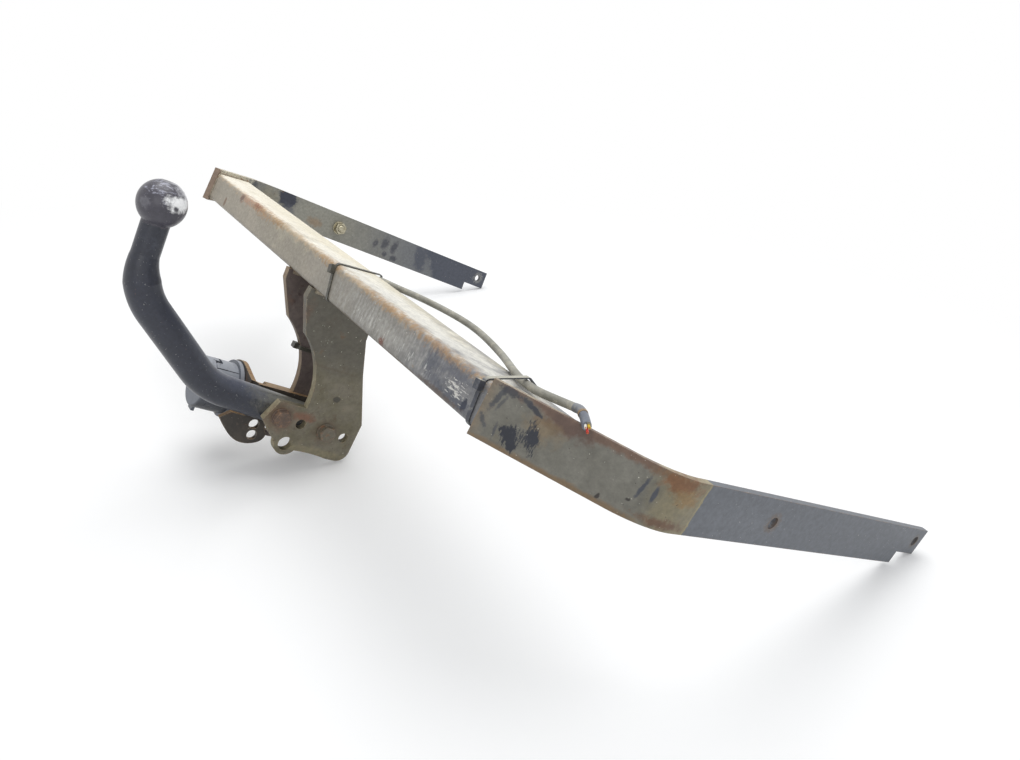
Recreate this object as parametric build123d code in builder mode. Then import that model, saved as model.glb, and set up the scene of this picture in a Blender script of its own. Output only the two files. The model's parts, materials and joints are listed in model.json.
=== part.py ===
from build123d import *
import os
from math import asin, atan2, cos, degrees, hypot, radians, sin, tan

os.makedirs("parts", exist_ok=True)

# A fixed towbar in millimetres, modelled as it sits on the vehicle: the origin is the
# middle of the cross beam, +X is forwards, +Y is to the vehicle's left and +Z is up.
# At the end the whole assembly is set down on a floor, on its arms and side plates.

# Cross beam, a rectangular tube
beam_width = 80
beam_height = 40
beam_wall = 4
beam_corner = 6
beam_rear_length = 796

# Chassis arms, folded from flat bar
arm_height = 50
arm_thickness = 8
arm_rise = 6             # top edge above the beam's top face
arm_overhang = 2         # rear end past the beam's rear edge
arm_splay = 48           # first section's angle from straight ahead
arm_turn = 50            # fold back to straight ahead
arm_fold_tilt = 7        # fold line's lean from upright
arm_fold_radius = 67     # inside radius of the fold
arm_first_length = 165   # along the top edge, to the sharp fold
arm_second_length = 518
arm_notch_length = 46
arm_notch_height = 16
arm_rear_hole = (168, 25)   # along the second section, and down from its top edge
arm_tip_hole = (500, 16.5)

# M12 fasteners
bolt_size = 12
hole_play = 0.5          # radial, bolt in its hole
thread_play = 0.05       # radial, nut on its bolt
hex_width = 19
head_height = 7.5
nut_height = 10
washer_size = 24
washer_thickness = 2.5
bolt_stick_out = 4       # past the nut

# Swan neck, forged from round bar
ball_size = 50
ball_flat_height = 23.5  # flat top above the ball's centre
neck_slim_size = 29      # under the ball
neck_size = 38
neck_bend_radius = 80
neck_taper_turn = 21.5   # share of the upper bend in which the bar thickens
neck_upright = 91.8      # ball centre to the upper corner of the centreline
neck_diagonal = 142.5
neck_foot = 90           # lower corner to the first clamp bolt
neck_tail = 84           # first clamp bolt to the end of the bar
neck_lean = 4.3          # clamped end falls forwards, so the ball leans back
neck_fall = 37           # slope of the diagonal
neck_flat_width = 34     # across the flats that the plates clamp
neck_flat_start = -26
neck_end_chamfer = 2

# Side plates
plate_thickness = 10
plate_fold_z = -105      # the head leans out above it
plate_lean = 12.5        # sideways, from the fold to the beam
plate_fold_radius = 16
plate_bottom = -224.5
plate_head_front = 50
plate_heel = (-40, -33)      # corners of the outline, as (x, z)
plate_hollow = (-18, -76)
plate_hollow_middle = (10, -104)
plate_crook = 27             # where the stem meets the foot's top
plate_crook_rise = 5
plate_instep = -9
plate_rear = (-20, -192)
plate_chin = (-4, -208)
plate_knee = (110, -168)
plate_waist = (57.5, -59)
plate_toe = 82               # where the flat of the toe starts
plate_arch = 2               # hollow of the underside
plate_toe_radius = 16
plate_crook_radius = 4
plate_instep_radius = 7
plate_rear_radius = 6
plate_waist_radius = 15
plate_knee_radius = 12
clamp_bolt_1 = (0, -184)
clamp_bolt_2 = (65, -189)
plate_spare_hole = (29, -187)
plate_front_hole = (93, -191.4)
plate_eye = (20.6, -216)
plate_eye_size = 18
plate_eye_wall = 6

# Welds
weld_leg = 3.5
plate_weld_leg = 5

# Socket plate
socket_plate_thickness = 6
socket_plate_bend = 2    # inside radius
socket_plate_holes = [(-2.5, -232), (-5.5, -217.5)]
tab_front = -23          # x of the tab's front face
tab_low = -205           # lower edge of the bend
tab_margin = 2           # round the flange
socket_plate_front = 78
step_drop = 4            # the plate's edge under the tab's bend
step_rear = -40
lobe_rear = (-51, -219)  # the drooping lobe with the two holes, as (x, z)
lobe_points = [(-34, -235.5), (-19, -244), (2, -243), (12, -236.5)]
eye_clearance = 11.5     # round the side plates' eye, from its centre

# Trailer socket, its axis along X
socket_y = 68
socket_z = -198
body_radius = 33
body_rear = -64          # x of the body's open end
flange_radius = 37.5
flange_thickness = 5
gasket_thickness = 1.5
cavity_radius = 22.5
cavity_depth = 30
chimney_radius = 16
chimney_bore = 12
chimney_play = 1
insert_thickness = 7
insert_play = 0.1
contact_size = 4
contact_length = 9
contact_circle = 11
seam_turn = 32           # both moulded seams, from the top
seam_width = 1.4
seam_depth = 1
slot_depth = 4
slot_length = 14
rim_round = 2

# Lid, hinged at the top of the socket
lid_thickness = 9.5
lid_gap = 0.6
lid_round = 3
pin_size = 3
pin_length = 24
pin_height = 29.5        # above the socket's axis
pin_inset = 4            # forward of the body's open end
pin_play = 0.05          # radial, in the lid's knuckle
knuckle_radius = 3.5
knuckle_width = 9
notch_width = 17
spring_wall = 1
spring_width = 3
side_play = 0.3
seal_radius = 26
seal_width = 3
seal_depth = 1.2
seal_clearance = 0.3
catch_width = 12
catch_height = 5
catch_depth = 4

# M5 screws of the flange
screw_size = 5
screw_circle = 31.5
screw_turns = (-64, 64, 180)
screw_head_size = 9
screw_head_height = 3
screw_nut_width = 8
screw_nut_height = 4
screw_stick_out = 2
screw_play = 0.25
channel_radius = 5.5

# Lead and cable ties
lead_size = 7.5
sleeve_size = 8.4
sleeve_radius = 8
sleeve_length = 11       # before its bend
core_size = 2
core_spread = 1.25
core_lengths = (5, 7, 6)
boot_size = 42
boot_rim = 3
boot_neck = 24
boot_length = 21
boot_end_size = 13
tie_width = 4.8
tie_thickness = 1.3
tie_gap = 0.3
lead_room = 1.1          # further room for the lead inside a strap
tie_head = (9, 7, 6)


# Frames of the right arm

def turned(direction, turn):
    """A direction carried round the fold line by turn degrees."""
    return direction.rotate(Axis((0, 0, 0), fold_line), turn)


arm_ahead = Vector(cos(radians(arm_splay)), -sin(radians(arm_splay)), 0)
arm_out = Vector(-sin(radians(arm_splay)), -cos(radians(arm_splay)), 0)
arm_seat = Vector(-beam_width / 2, -beam_rear_length / 2, 0)
arm_top = Vector(0, 0, beam_height / 2 + arm_rise)
arm_fold = arm_seat + arm_top + arm_out * arm_thickness + arm_ahead * (arm_first_length - arm_overhang)

fold_line = Vector(0, 0, cos(radians(arm_fold_tilt))) + arm_ahead * sin(radians(arm_fold_tilt))
fold_across = arm_ahead * cos(radians(arm_fold_tilt)) - Vector(0, 0, sin(radians(arm_fold_tilt)))
fold_outside = arm_fold_radius + arm_thickness
fold_set_back = fold_outside * tan(radians(arm_turn / 2))
fold_climb = tan(radians(arm_fold_tilt))
fold_centre = arm_fold - fold_across * fold_set_back - arm_out * fold_outside

first_face = Plane(arm_fold, x_dir=arm_ahead, z_dir=arm_out)
second_face = Plane(arm_fold, x_dir=turned(arm_ahead, arm_turn), z_dir=turned(arm_out, arm_turn))


def fold_slice(turn):
    """The upright plane across the fold, turn degrees round it."""
    return Plane(fold_centre, x_dir=turned(arm_out, turn), z_dir=turned(fold_across, turn) * -1)


def to_left(place):
    """The same place or direction on the left side."""
    return Vector(place.X, -place.Y, place.Z)


# Cross beam

left_mitre = Plane(to_left(arm_seat), z_dir=to_left(arm_out))
right_mitre = Plane(arm_seat, z_dir=arm_out)

with BuildPart() as cross_beam:
    with BuildSketch(Plane.XZ):
        RectangleRounded(beam_width, beam_height, beam_corner)
        RectangleRounded(
            beam_width - 2 * beam_wall, beam_height - 2 * beam_wall, beam_corner - beam_wall, mode=Mode.SUBTRACT
        )
    extrude(amount=beam_rear_length, both=True)
    split(bisect_by=right_mitre, keep=Keep.BOTTOM)
    split(bisect_by=left_mitre, keep=Keep.BOTTOM)


# Chassis arms

first_end = -fold_set_back / cos(radians(arm_fold_tilt))
second_start = -first_end
arm_drift = arm_height * fold_climb
arm_tip = arm_second_length
arm_tooth = arm_second_length - arm_notch_length
fold_slices = 4
fold_end = fold_slice(arm_turn)

with BuildPart() as right_arm:
    with BuildSketch(first_face):
        with BuildLine():
            Polyline(
                (-arm_first_length, 0),
                (first_end, 0),
                (first_end - arm_drift, -arm_height),
                (-arm_first_length, -arm_height),
                close=True,
            )
        make_face()
    extrude(amount=-arm_thickness)
    for step in range(fold_slices + 1):
        share = step / fold_slices
        with BuildSketch(fold_slice(arm_turn * share)):
            upright = arm_height / cos(radians(arm_fold_tilt))
            slice_top = fold_climb * fold_set_back * (2 * share - 1)
            with Locations((fold_outside - arm_thickness / 2, slice_top - upright / 2)):
                Rectangle(arm_thickness, upright)
    loft()
    with BuildSketch(second_face):
        with BuildLine():
            Polyline(
                (second_start, 0),
                (arm_tip, 0),
                (arm_tip, arm_notch_height - arm_height),
                (arm_tooth, arm_notch_height - arm_height),
                (arm_tooth, -arm_height),
                (second_start - arm_drift, -arm_height),
                close=True,
            )
        make_face()
        with Locations((arm_rear_hole[0], -arm_rear_hole[1]), (arm_tip_hole[0], -arm_tip_hole[1])):
            Circle(bolt_size / 2 + hole_play, mode=Mode.SUBTRACT)
    extrude(amount=-arm_thickness)
    split(bisect_by=fold_end, keep=Keep.BOTH)  # two simple solids, one on each side

with BuildPart() as left_arm:
    mirror(right_arm.part, about=Plane.XZ)
    split(
        bisect_by=Plane(to_left(fold_end.origin), x_dir=to_left(fold_end.x_dir), z_dir=to_left(fold_end.z_dir)),
        keep=Keep.BOTH,
    )


# Welds round the beam's ends, on the arms' inner faces

seat_face = Plane(arm_seat, x_dir=arm_ahead, z_dir=arm_out * -1)
mitre_length = beam_width / cos(radians(arm_splay))
mitre_shift = weld_leg * tan(radians(arm_splay))
weld_lip = 0.2

with BuildPart() as right_arm_weld:
    with BuildSketch(seat_face):
        with Locations(((mitre_length + weld_leg - arm_overhang) / 2, 0)):
            Rectangle(mitre_length + weld_leg + arm_overhang, beam_height + 2 * weld_leg)
    with BuildSketch(seat_face.offset(weld_leg)):
        with Locations((mitre_length / 2 - mitre_shift, 0)):
            Rectangle(mitre_length + 2 * weld_lip, beam_height + 2 * weld_lip)
    loft()
    with BuildSketch(Plane.XZ):
        RectangleRounded(beam_width, beam_height, beam_corner)
    extrude(amount=beam_rear_length, both=True, mode=Mode.SUBTRACT)

with BuildPart() as left_arm_weld:
    mirror(right_arm_weld.part, about=Plane.XZ)


# Side plates

beam_under = -beam_height / 2
foot_top = clamp_bolt_1[1] + neck_size / 2
eye_radius = plate_eye_size / 2 + plate_eye_wall
right_plate_face = -neck_flat_width / 2
left_plate_face = neck_flat_width / 2 + socket_plate_thickness
crook = (plate_crook, foot_top)
instep = (plate_instep, foot_top)
toe_start = (plate_toe, plate_bottom)
toe = (plate_knee[0], plate_bottom)
arch_middle = (60, plate_bottom + 1.15 * plate_arch)


def side_plate(inner, side):
    """A side plate whose foot has its inner face at y = inner; side is -1 right, 1 left."""
    outer = inner + side * plate_thickness
    lean = side * plate_lean
    with BuildPart() as plate:
        with BuildSketch(Plane.XZ) as outline:
            with BuildLine():
                Polyline((-beam_width / 2, beam_under), plate_heel, plate_hollow)
                ThreePointArc(plate_hollow, plate_hollow_middle, (plate_crook, foot_top + plate_crook_rise))
                nose = (plate_eye[0] - eye_radius, plate_eye[1])
                Polyline((plate_crook, foot_top + plate_crook_rise), crook, instep, plate_rear, plate_chin, nose)
                lobe_end = (plate_eye[0] + eye_radius, plate_bottom + plate_arch)
                ThreePointArc(nose, (plate_eye[0], plate_eye[1] - eye_radius), lobe_end)
                ThreePointArc(lobe_end, arch_middle, toe_start)
                Polyline(toe_start, toe, plate_knee, plate_waist, (plate_head_front, beam_under))
                Line((plate_head_front, beam_under), (-beam_width / 2, beam_under))
            make_face()
            corners = outline.vertices()
            for corner, corner_radius in (
                (toe, plate_toe_radius),
                (crook, plate_crook_radius),
                (instep, plate_instep_radius),
                (plate_rear, plate_rear_radius),
                (plate_waist, plate_waist_radius),
                (plate_knee, plate_knee_radius),
            ):
                fillet(corners.sort_by_distance(corner)[0], radius=corner_radius)
            with Locations(clamp_bolt_1, clamp_bolt_2, plate_spare_hole, plate_front_hole):
                Circle(bolt_size / 2 + hole_play, mode=Mode.SUBTRACT)
            with Locations(plate_eye):
                Circle(plate_eye_size / 2, mode=Mode.SUBTRACT)
        extrude(amount=2 * (abs(inner) + plate_thickness + plate_lean), both=True)
        with BuildSketch(Plane.YZ) as section:
            with BuildLine():
                Polyline(
                    (inner, 2 * plate_bottom),
                    (inner, plate_fold_z),
                    (inner + lean, beam_under),
                    (outer + lean, beam_under),
                    (outer, plate_fold_z),
                    (outer, 2 * plate_bottom),
                    close=True,
                )
            make_face()
            fillet(section.vertices().sort_by(Axis.Y)[2:4], radius=plate_fold_radius)
        extrude(amount=2 * plate_knee[0], both=True, mode=Mode.INTERSECT)
    return plate


right_side_plate = side_plate(right_plate_face, -1)
left_side_plate = side_plate(left_plate_face, 1)


def plate_welds(inner, side):
    """The two weld runs that hold a side plate's head to the beam."""
    head_in = inner + side * plate_lean
    head_out = head_in + side * plate_thickness
    slope = plate_lean / (beam_under - plate_fold_z)
    with BuildPart() as welds:
        with BuildSketch(Plane.YZ):
            for face, away in ((head_in, -side), (head_out, side)):
                with BuildLine():
                    Polyline(
                        (face, beam_under),
                        (face + away * plate_weld_leg, beam_under),
                        (face - side * slope * plate_weld_leg, beam_under - plate_weld_leg),
                        close=True,
                    )
                make_face()
        extrude(amount=beam_width / 2 - beam_corner, both=True)
    return welds


right_plate_weld = plate_welds(right_plate_face, -1)
left_plate_weld = plate_welds(left_plate_face, 1)


# Swan neck

def down_slope(start, length, fall):
    """The point length behind start, up a slope that falls forwards by fall degrees."""
    return (start[0] - length * cos(radians(fall)), start[1] + length * sin(radians(fall)))


low_corner = down_slope(clamp_bolt_1, neck_foot, neck_lean)
high_corner = down_slope(low_corner, neck_diagonal, neck_fall)
ball_centre = down_slope(high_corner, neck_upright, 90 - neck_lean)
high_turn = 90 - neck_lean - neck_fall
low_turn = neck_fall - neck_lean
high_set_back = neck_bend_radius * tan(radians(high_turn / 2))
low_set_back = neck_bend_radius * tan(radians(low_turn / 2))
neck_reach = 2 * neck_size
ball_axis = Vector(-sin(radians(neck_lean)), 0, cos(radians(neck_lean)))
ball_point = Vector(ball_centre[0], 0, ball_centre[1])

with BuildPart() as swan_neck:
    with BuildLine(Plane.XZ):
        upright_run = PolarLine(ball_centre, neck_upright - high_set_back, neck_lean - 90)
    with BuildLine(Plane.XZ):
        taper_run = JernArc(upright_run @ 1, upright_run % 1, neck_bend_radius, neck_taper_turn)
    with BuildLine(Plane.XZ) as lower_run:
        elbow = JernArc(taper_run @ 1, taper_run % 1, neck_bend_radius, high_turn - neck_taper_turn)
        diagonal_end = elbow @ 1 + (elbow % 1) * (neck_diagonal - high_set_back - low_set_back)
        Line(elbow @ 1, diagonal_end)
        knee = JernArc(diagonal_end, elbow % 1, neck_bend_radius, low_turn)
        Line(knee @ 1, knee @ 1 + (knee % 1) * (neck_foot - low_set_back + neck_tail))
    with BuildSketch(Plane(upright_run @ 0, z_dir=upright_run % 0)):
        Circle(neck_slim_size / 2)
    sweep(path=upright_run)
    with BuildSketch(Plane(taper_run @ 0, z_dir=taper_run % 0)) as slim_end:
        Circle(neck_slim_size / 2)
    with BuildSketch(Plane(taper_run @ 1, z_dir=taper_run % 1)) as thick_end:
        Circle(neck_size / 2)
    sweep(sections=[slim_end.sketch, thick_end.sketch], path=taper_run, multisection=True)
    with BuildSketch(Plane(elbow @ 0, z_dir=elbow % 0)):
        Circle(neck_size / 2)
    sweep(path=lower_run.wires()[0])
    chamfer(swan_neck.faces().sort_by(Axis.X)[-1].edges(), neck_end_chamfer)
    with Locations(ball_point):
        Sphere(ball_size / 2)
    split(bisect_by=Plane(ball_point + ball_axis * ball_flat_height, z_dir=ball_axis), keep=Keep.BOTTOM)
    for side in (-1, 1):
        with BuildSketch(Plane.XZ.offset(side * neck_flat_width / 2)):
            with BuildLine():
                Polyline(
                    (neck_flat_start - 10, clamp_bolt_1[1] + neck_reach / 2),
                    (neck_flat_start - 10, clamp_bolt_1[1] + 9),
                    (neck_flat_start + 9, clamp_bolt_1[1] - 13),
                    (neck_flat_start + 9, clamp_bolt_1[1] - neck_reach / 2),
                    (neck_tail + neck_reach, clamp_bolt_1[1] - neck_reach / 2),
                    (neck_tail + neck_reach, clamp_bolt_1[1] + neck_reach / 2),
                    close=True,
                )
            make_face()
        extrude(amount=side * neck_size / 2, mode=Mode.SUBTRACT)
    with BuildSketch(Plane.XZ):
        with Locations(clamp_bolt_1, clamp_bolt_2):
            Circle(bolt_size / 2 + hole_play)
    extrude(amount=neck_size, both=True, mode=Mode.SUBTRACT)


# Clamp bolts, heads on the right

head_seat = plate_thickness - right_plate_face + washer_thickness
nut_seat = left_plate_face + plate_thickness + washer_thickness
clamp_bolts = (clamp_bolt_1, clamp_bolt_2)

with BuildPart() as neck_bolts:
    with BuildSketch(Plane.XZ.offset(head_seat)):
        with Locations(*clamp_bolts):
            RegularPolygon(hex_width / 2, 6, major_radius=False)
    extrude(amount=head_height)
    with BuildSketch(Plane.XZ.offset(head_seat)):
        with Locations(*clamp_bolts):
            Circle(bolt_size / 2)
    extrude(amount=-(head_seat + nut_seat + nut_height + bolt_stick_out))

with BuildPart() as neck_bolt_washers:
    for seat in (head_seat, washer_thickness - nut_seat):
        with BuildSketch(Plane.XZ.offset(seat)):
            with Locations(*clamp_bolts):
                Circle(washer_size / 2)
                Circle(bolt_size / 2 + hole_play, mode=Mode.SUBTRACT)
        extrude(amount=-washer_thickness)

with BuildPart() as neck_bolt_nuts:
    with BuildSketch(Plane.XZ.offset(-nut_seat)):
        with Locations(*clamp_bolts):
            RegularPolygon(hex_width / 2, 6, major_radius=False)
            Circle(bolt_size / 2 + thread_play, mode=Mode.SUBTRACT)
    extrude(amount=-nut_height)


# Bolt in the left arm, its nut on the inner face

left_face = Plane(to_left(arm_fold), x_dir=to_left(second_face.x_dir), z_dir=to_left(second_face.z_dir) * -1)
arm_bolt_place = (arm_rear_hole[0], -arm_rear_hole[1])
arm_nut_seat = arm_thickness + washer_thickness

with BuildPart() as arm_bolt:
    with BuildSketch(left_face):
        with Locations(arm_bolt_place):
            RegularPolygon(hex_width / 2, 6, major_radius=False)
    extrude(amount=-head_height)
    with BuildSketch(left_face):
        with Locations(arm_bolt_place):
            Circle(bolt_size / 2)
    extrude(amount=arm_nut_seat + nut_height + bolt_stick_out)

with BuildPart() as arm_bolt_washer:
    with BuildSketch(left_face.offset(arm_thickness)):
        with Locations(arm_bolt_place):
            Circle(washer_size / 2)
            Circle(bolt_size / 2 + hole_play, mode=Mode.SUBTRACT)
    extrude(amount=washer_thickness)

with BuildPart() as arm_bolt_nut:
    with BuildSketch(left_face.offset(arm_nut_seat)):
        with Locations(arm_bolt_place):
            RegularPolygon(hex_width / 2, 6, major_radius=False)
            Circle(bolt_size / 2 + thread_play, mode=Mode.SUBTRACT)
    extrude(amount=nut_height)


# Socket plate: flat beside the neck, with a tab bent out for the socket

tab_rear = tab_front - socket_plate_thickness
bend_start = tab_front + socket_plate_bend
bend_end = left_plate_face + socket_plate_bend
step_low = tab_low - step_drop
socket_axis = (socket_y, socket_z)


def round_socket(radius, turns):
    """Places on a circle round the socket's axis, turns in degrees from the top."""
    places = []
    for turn in turns:
        places.append((socket_y + radius * sin(radians(turn)), socket_z + radius * cos(radians(turn))))
    return places


with BuildPart() as socket_plate:
    with BuildSketch(Plane.XZ.offset(-left_plate_face)):
        with BuildLine():
            top_front = (socket_plate_front, foot_top)
            bottom_front = (socket_plate_front, plate_eye[1] + eye_clearance)
            eye_top = (plate_eye[0], plate_eye[1] + eye_clearance)
            eye_rear = (plate_eye[0] - eye_clearance, plate_eye[1])
            lobe_start = (plate_eye[0] - 0.5 * eye_clearance, plate_eye[1] - 0.866 * eye_clearance)
            ThreePointArc(lobe_start, eye_rear, eye_top)
            Polyline(eye_top, bottom_front, top_front, (bend_start, foot_top))
            Polyline((bend_start, foot_top), (bend_start, step_low), (step_rear, step_low), lobe_rear)
            Spline(lobe_rear, *lobe_points, lobe_start)
        make_face()
        with Locations(*clamp_bolts, *socket_plate_holes):
            Circle(bolt_size / 2 + hole_play, mode=Mode.SUBTRACT)
    extrude(amount=socket_plate_thickness)
    with BuildSketch(Plane.XY.offset(tab_low)):
        with BuildLine():
            inside = RadiusArc((bend_start, left_plate_face), (tab_front, bend_end), -socket_plate_bend)
            Line(inside @ 1, (tab_rear, bend_end))
            outside_radius = socket_plate_bend + socket_plate_thickness
            RadiusArc((tab_rear, bend_end), (bend_start, neck_flat_width / 2), outside_radius)
            Line((bend_start, neck_flat_width / 2), inside @ 0)
        make_face()
    extrude(amount=foot_top - tab_low)
    with BuildSketch(Plane.YZ.offset(tab_rear)):
        with BuildLine():
            Line((bend_end, tab_low), (bend_end, foot_top))
        with Locations(socket_axis):
            Circle(flange_radius + tab_margin)
        make_hull()
        with Locations(socket_axis):
            Circle(chimney_radius + chimney_play, mode=Mode.SUBTRACT)
        with Locations(*round_socket(screw_circle, screw_turns)):
            Circle(screw_size / 2 + screw_play, mode=Mode.SUBTRACT)
    extrude(amount=socket_plate_thickness)


# Trailer socket

flange_front = tab_rear - gasket_thickness
flange_rear = flange_front - flange_thickness
cavity_floor = body_rear + cavity_depth
pin_axis = (body_rear + pin_inset, socket_z + pin_height)
notch_floor = socket_z + pin_height - knuckle_radius - 1

with BuildPart() as flange_gasket:
    with BuildSketch(Plane.YZ.offset(tab_rear)):
        with Locations(socket_axis):
            Circle(flange_radius)
            Circle(chimney_radius + chimney_play, mode=Mode.SUBTRACT)
        with Locations(*round_socket(screw_circle, screw_turns)):
            Circle(screw_size / 2 + screw_play, mode=Mode.SUBTRACT)
    extrude(amount=-gasket_thickness)

with BuildPart() as socket_housing:
    with BuildSketch(Plane.YZ.offset(flange_front)):
        with Locations(socket_axis):
            Circle(flange_radius)
    extrude(amount=-flange_thickness)
    with BuildSketch(Plane.YZ.offset(flange_rear)):
        with Locations(socket_axis):
            Circle(body_radius)
    extrude(amount=body_rear - flange_rear)
    fillet(socket_housing.faces().sort_by(Axis.X)[0].edges(), radius=rim_round)
    with BuildSketch(Plane.YZ.offset(flange_rear)):
        with Locations(*round_socket(screw_circle, screw_turns)):
            Circle(channel_radius)
    extrude(amount=body_rear - flange_rear, mode=Mode.SUBTRACT)
    with BuildSketch(Plane.YZ.offset(flange_front)):
        with Locations(socket_axis):
            Circle(chimney_radius)
    extrude(amount=tab_front - flange_front)
    with BuildSketch(Plane.YZ.offset(body_rear)):
        with Locations(socket_axis):
            Circle(cavity_radius)
    extrude(amount=cavity_depth, mode=Mode.SUBTRACT)
    with BuildSketch(Plane.YZ.offset(cavity_floor)):
        with Locations(socket_axis):
            Circle(chimney_bore)
    extrude(amount=tab_front - cavity_floor, mode=Mode.SUBTRACT)
    with BuildSketch(Plane.YZ.offset(flange_rear)):
        with Locations(*round_socket(screw_circle, screw_turns)):
            Circle(screw_size / 2 + screw_play)
    extrude(amount=flange_front - flange_rear, mode=Mode.SUBTRACT)
    with BuildSketch(Plane.YZ.offset(body_rear)):
        for turn in (-seam_turn, seam_turn):
            with Locations(*round_socket(body_radius, (turn,))):
                Rectangle(seam_width, 2 * seam_depth, rotation=-turn)
    extrude(amount=flange_rear - body_rear, mode=Mode.SUBTRACT)
    with BuildSketch(Plane.YZ.offset(body_rear)):
        for turn in (-seam_turn, seam_turn):
            with Locations(*round_socket(body_radius, (turn,))):
                Rectangle(seam_width, 2 * slot_depth, rotation=-turn)
    extrude(amount=slot_length, mode=Mode.SUBTRACT)
    with BuildSketch(Plane.YZ.offset(body_rear)):
        with Locations((socket_y, notch_floor + body_radius / 2)):
            Rectangle(notch_width, body_radius)
    extrude(amount=pin_inset + knuckle_radius + 1, mode=Mode.SUBTRACT)
    with BuildSketch(Plane.XZ.offset(-socket_y)):
        with Locations(pin_axis):
            Circle(pin_size / 2)
    extrude(amount=pin_length / 2, both=True, mode=Mode.SUBTRACT)

with BuildPart() as contact_insert:
    with BuildSketch(Plane.YZ.offset(cavity_floor)):
        with Locations(socket_axis):
            Circle(cavity_radius - insert_play)
    extrude(amount=-insert_thickness)

with BuildPart() as socket_contacts:
    with BuildSketch(Plane.YZ.offset(cavity_floor - insert_thickness)):
        with Locations(socket_axis, *round_socket(contact_circle, range(0, 360, 60))):
            Circle(contact_size / 2)
    extrude(amount=-contact_length)

with BuildPart() as cable_boot:
    with BuildSketch(Plane.YZ.offset(tab_front)):
        with Locations(socket_axis):
            Circle(boot_size / 2)
    extrude(amount=boot_rim)
    with BuildSketch(Plane.YZ.offset(tab_front + boot_rim)):
        with Locations(socket_axis):
            Circle(boot_neck / 2)
    with BuildSketch(Plane.YZ.offset(tab_front + boot_length)):
        with Locations(socket_axis):
            Circle(boot_end_size / 2)
    loft()

with BuildPart() as socket_screws:
    with BuildSketch(Plane.YZ.offset(flange_rear)):
        with Locations(*round_socket(screw_circle, screw_turns)):
            Circle(screw_head_size / 2)
    extrude(amount=-screw_head_height)
    with BuildSketch(Plane.YZ.offset(flange_rear)):
        with Locations(*round_socket(screw_circle, screw_turns)):
            Circle(screw_size / 2)
    extrude(amount=tab_front - flange_rear + screw_nut_height + screw_stick_out)

with BuildPart() as socket_nuts:
    with BuildSketch(Plane.YZ.offset(tab_front)):
        with Locations(*round_socket(screw_circle, screw_turns)):
            RegularPolygon(screw_nut_width / 2, 6, major_radius=False)
            Circle(screw_size / 2 + thread_play, mode=Mode.SUBTRACT)
    extrude(amount=screw_nut_height)


# Lid and its hinge

lid_front = body_rear - lid_gap

with BuildPart() as socket_lid:
    with BuildSketch(Plane.YZ.offset(lid_front)):
        with Locations(socket_axis):
            Circle(body_radius)
    extrude(amount=-lid_thickness)
    fillet(socket_lid.faces().sort_by(Axis.X)[0].edges(), radius=lid_round)
    with BuildSketch(Plane.YZ.offset(lid_front)):
        with Locations((socket_y, socket_z - body_radius)):
            Rectangle(catch_width, 2 * catch_height)
    extrude(amount=-catch_depth)
    with BuildSketch(Plane.XZ.offset(-socket_y)):
        with Locations(pin_axis):
            Circle(knuckle_radius)
        with Locations((lid_front - 1 + pin_inset / 2, pin_axis[1])):
            Rectangle(pin_inset + 2, 2 * knuckle_radius)
    extrude(amount=knuckle_width / 2, both=True)
    with BuildSketch(Plane.XZ.offset(-socket_y)):
        with Locations(pin_axis):
            Circle(pin_size / 2 + pin_play)
    extrude(amount=knuckle_width, both=True, mode=Mode.SUBTRACT)
    with BuildSketch(Plane.YZ.offset(lid_front)):
        with Locations(socket_axis):
            Circle(seal_radius)
            Circle(seal_radius - seal_width, mode=Mode.SUBTRACT)
    extrude(amount=-seal_depth, mode=Mode.SUBTRACT)

with BuildPart() as lid_seal:
    with BuildSketch(Plane.YZ.offset(lid_front - seal_depth)):
        with Locations(socket_axis):
            Circle(seal_radius)
            Circle(seal_radius - seal_width, mode=Mode.SUBTRACT)
    extrude(amount=seal_depth + lid_gap - seal_clearance)

with BuildPart() as lid_hinge_pin:
    with BuildSketch(Plane.XZ.offset(-socket_y)):
        with Locations(pin_axis):
            Circle(pin_size / 2)
    extrude(amount=pin_length / 2, both=True)

with BuildPart() as lid_spring:
    with BuildSketch(Plane.XZ.offset(-(socket_y + knuckle_width / 2 + side_play))):
        with Locations(pin_axis):
            Circle(pin_size / 2 + spring_wall)
            Circle(pin_size / 2, mode=Mode.SUBTRACT)
    extrude(amount=-spring_width)


# Lead: from the boot, up the left side plate, over the beam and along it to the right arm

boot_tip = tab_front + boot_length
lead_route = [
    (boot_tip, socket_y, socket_z),
    (41, socket_y, socket_z),
    (82, 63, -186),
    (97, 47, -150),
    (75, 38, -104),
    (66, 46, -62),
    (56, 38, -18),
    (54, 14, 5),
    (46.5, -6, 12.5),
    (44.3, -32, 17),
    (50, -52, 18.4),
    (58, -82, 22),
    (66, -109, 24.3),
    (74, -135, 25.8),
    (79, -164, 26.9),
    (78, -196, 27),
    (70, -233, 26),
    (59, -273, 24.2),
    (43, -304, 24.6),
    (22, -342, 25.2),
    (9, -373, 25.2),
    (6, -396, 26.4),
    (13.8, -417, 29.3),
]
sleeve_corner = (13.4, -446.2, 34)
sleeve_tip = (-0.2, -469, 28.5)


def bend_radii(points):
    """The largest easy radius at each inner point of a route."""
    radii = []
    for before, at, after in zip(points, points[1:], points[2:]):
        arriving = Vector(at) - Vector(before)
        leaving = Vector(after) - Vector(at)
        turn = radians(arriving.get_angle(leaving))
        radii.append(0.45 * min(arriving.length, leaving.length) / tan(turn / 2))
    return radii


last_run = Vector(sleeve_corner) - Vector(lead_route[-1])
sleeve_start = Vector(sleeve_corner) - last_run.normalized() * sleeve_length
lead_points = [*lead_route, tuple(sleeve_start)]
lead_radii = bend_radii(lead_points)
print("lead bend radii:", [round(radius) for radius in lead_radii])

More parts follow.
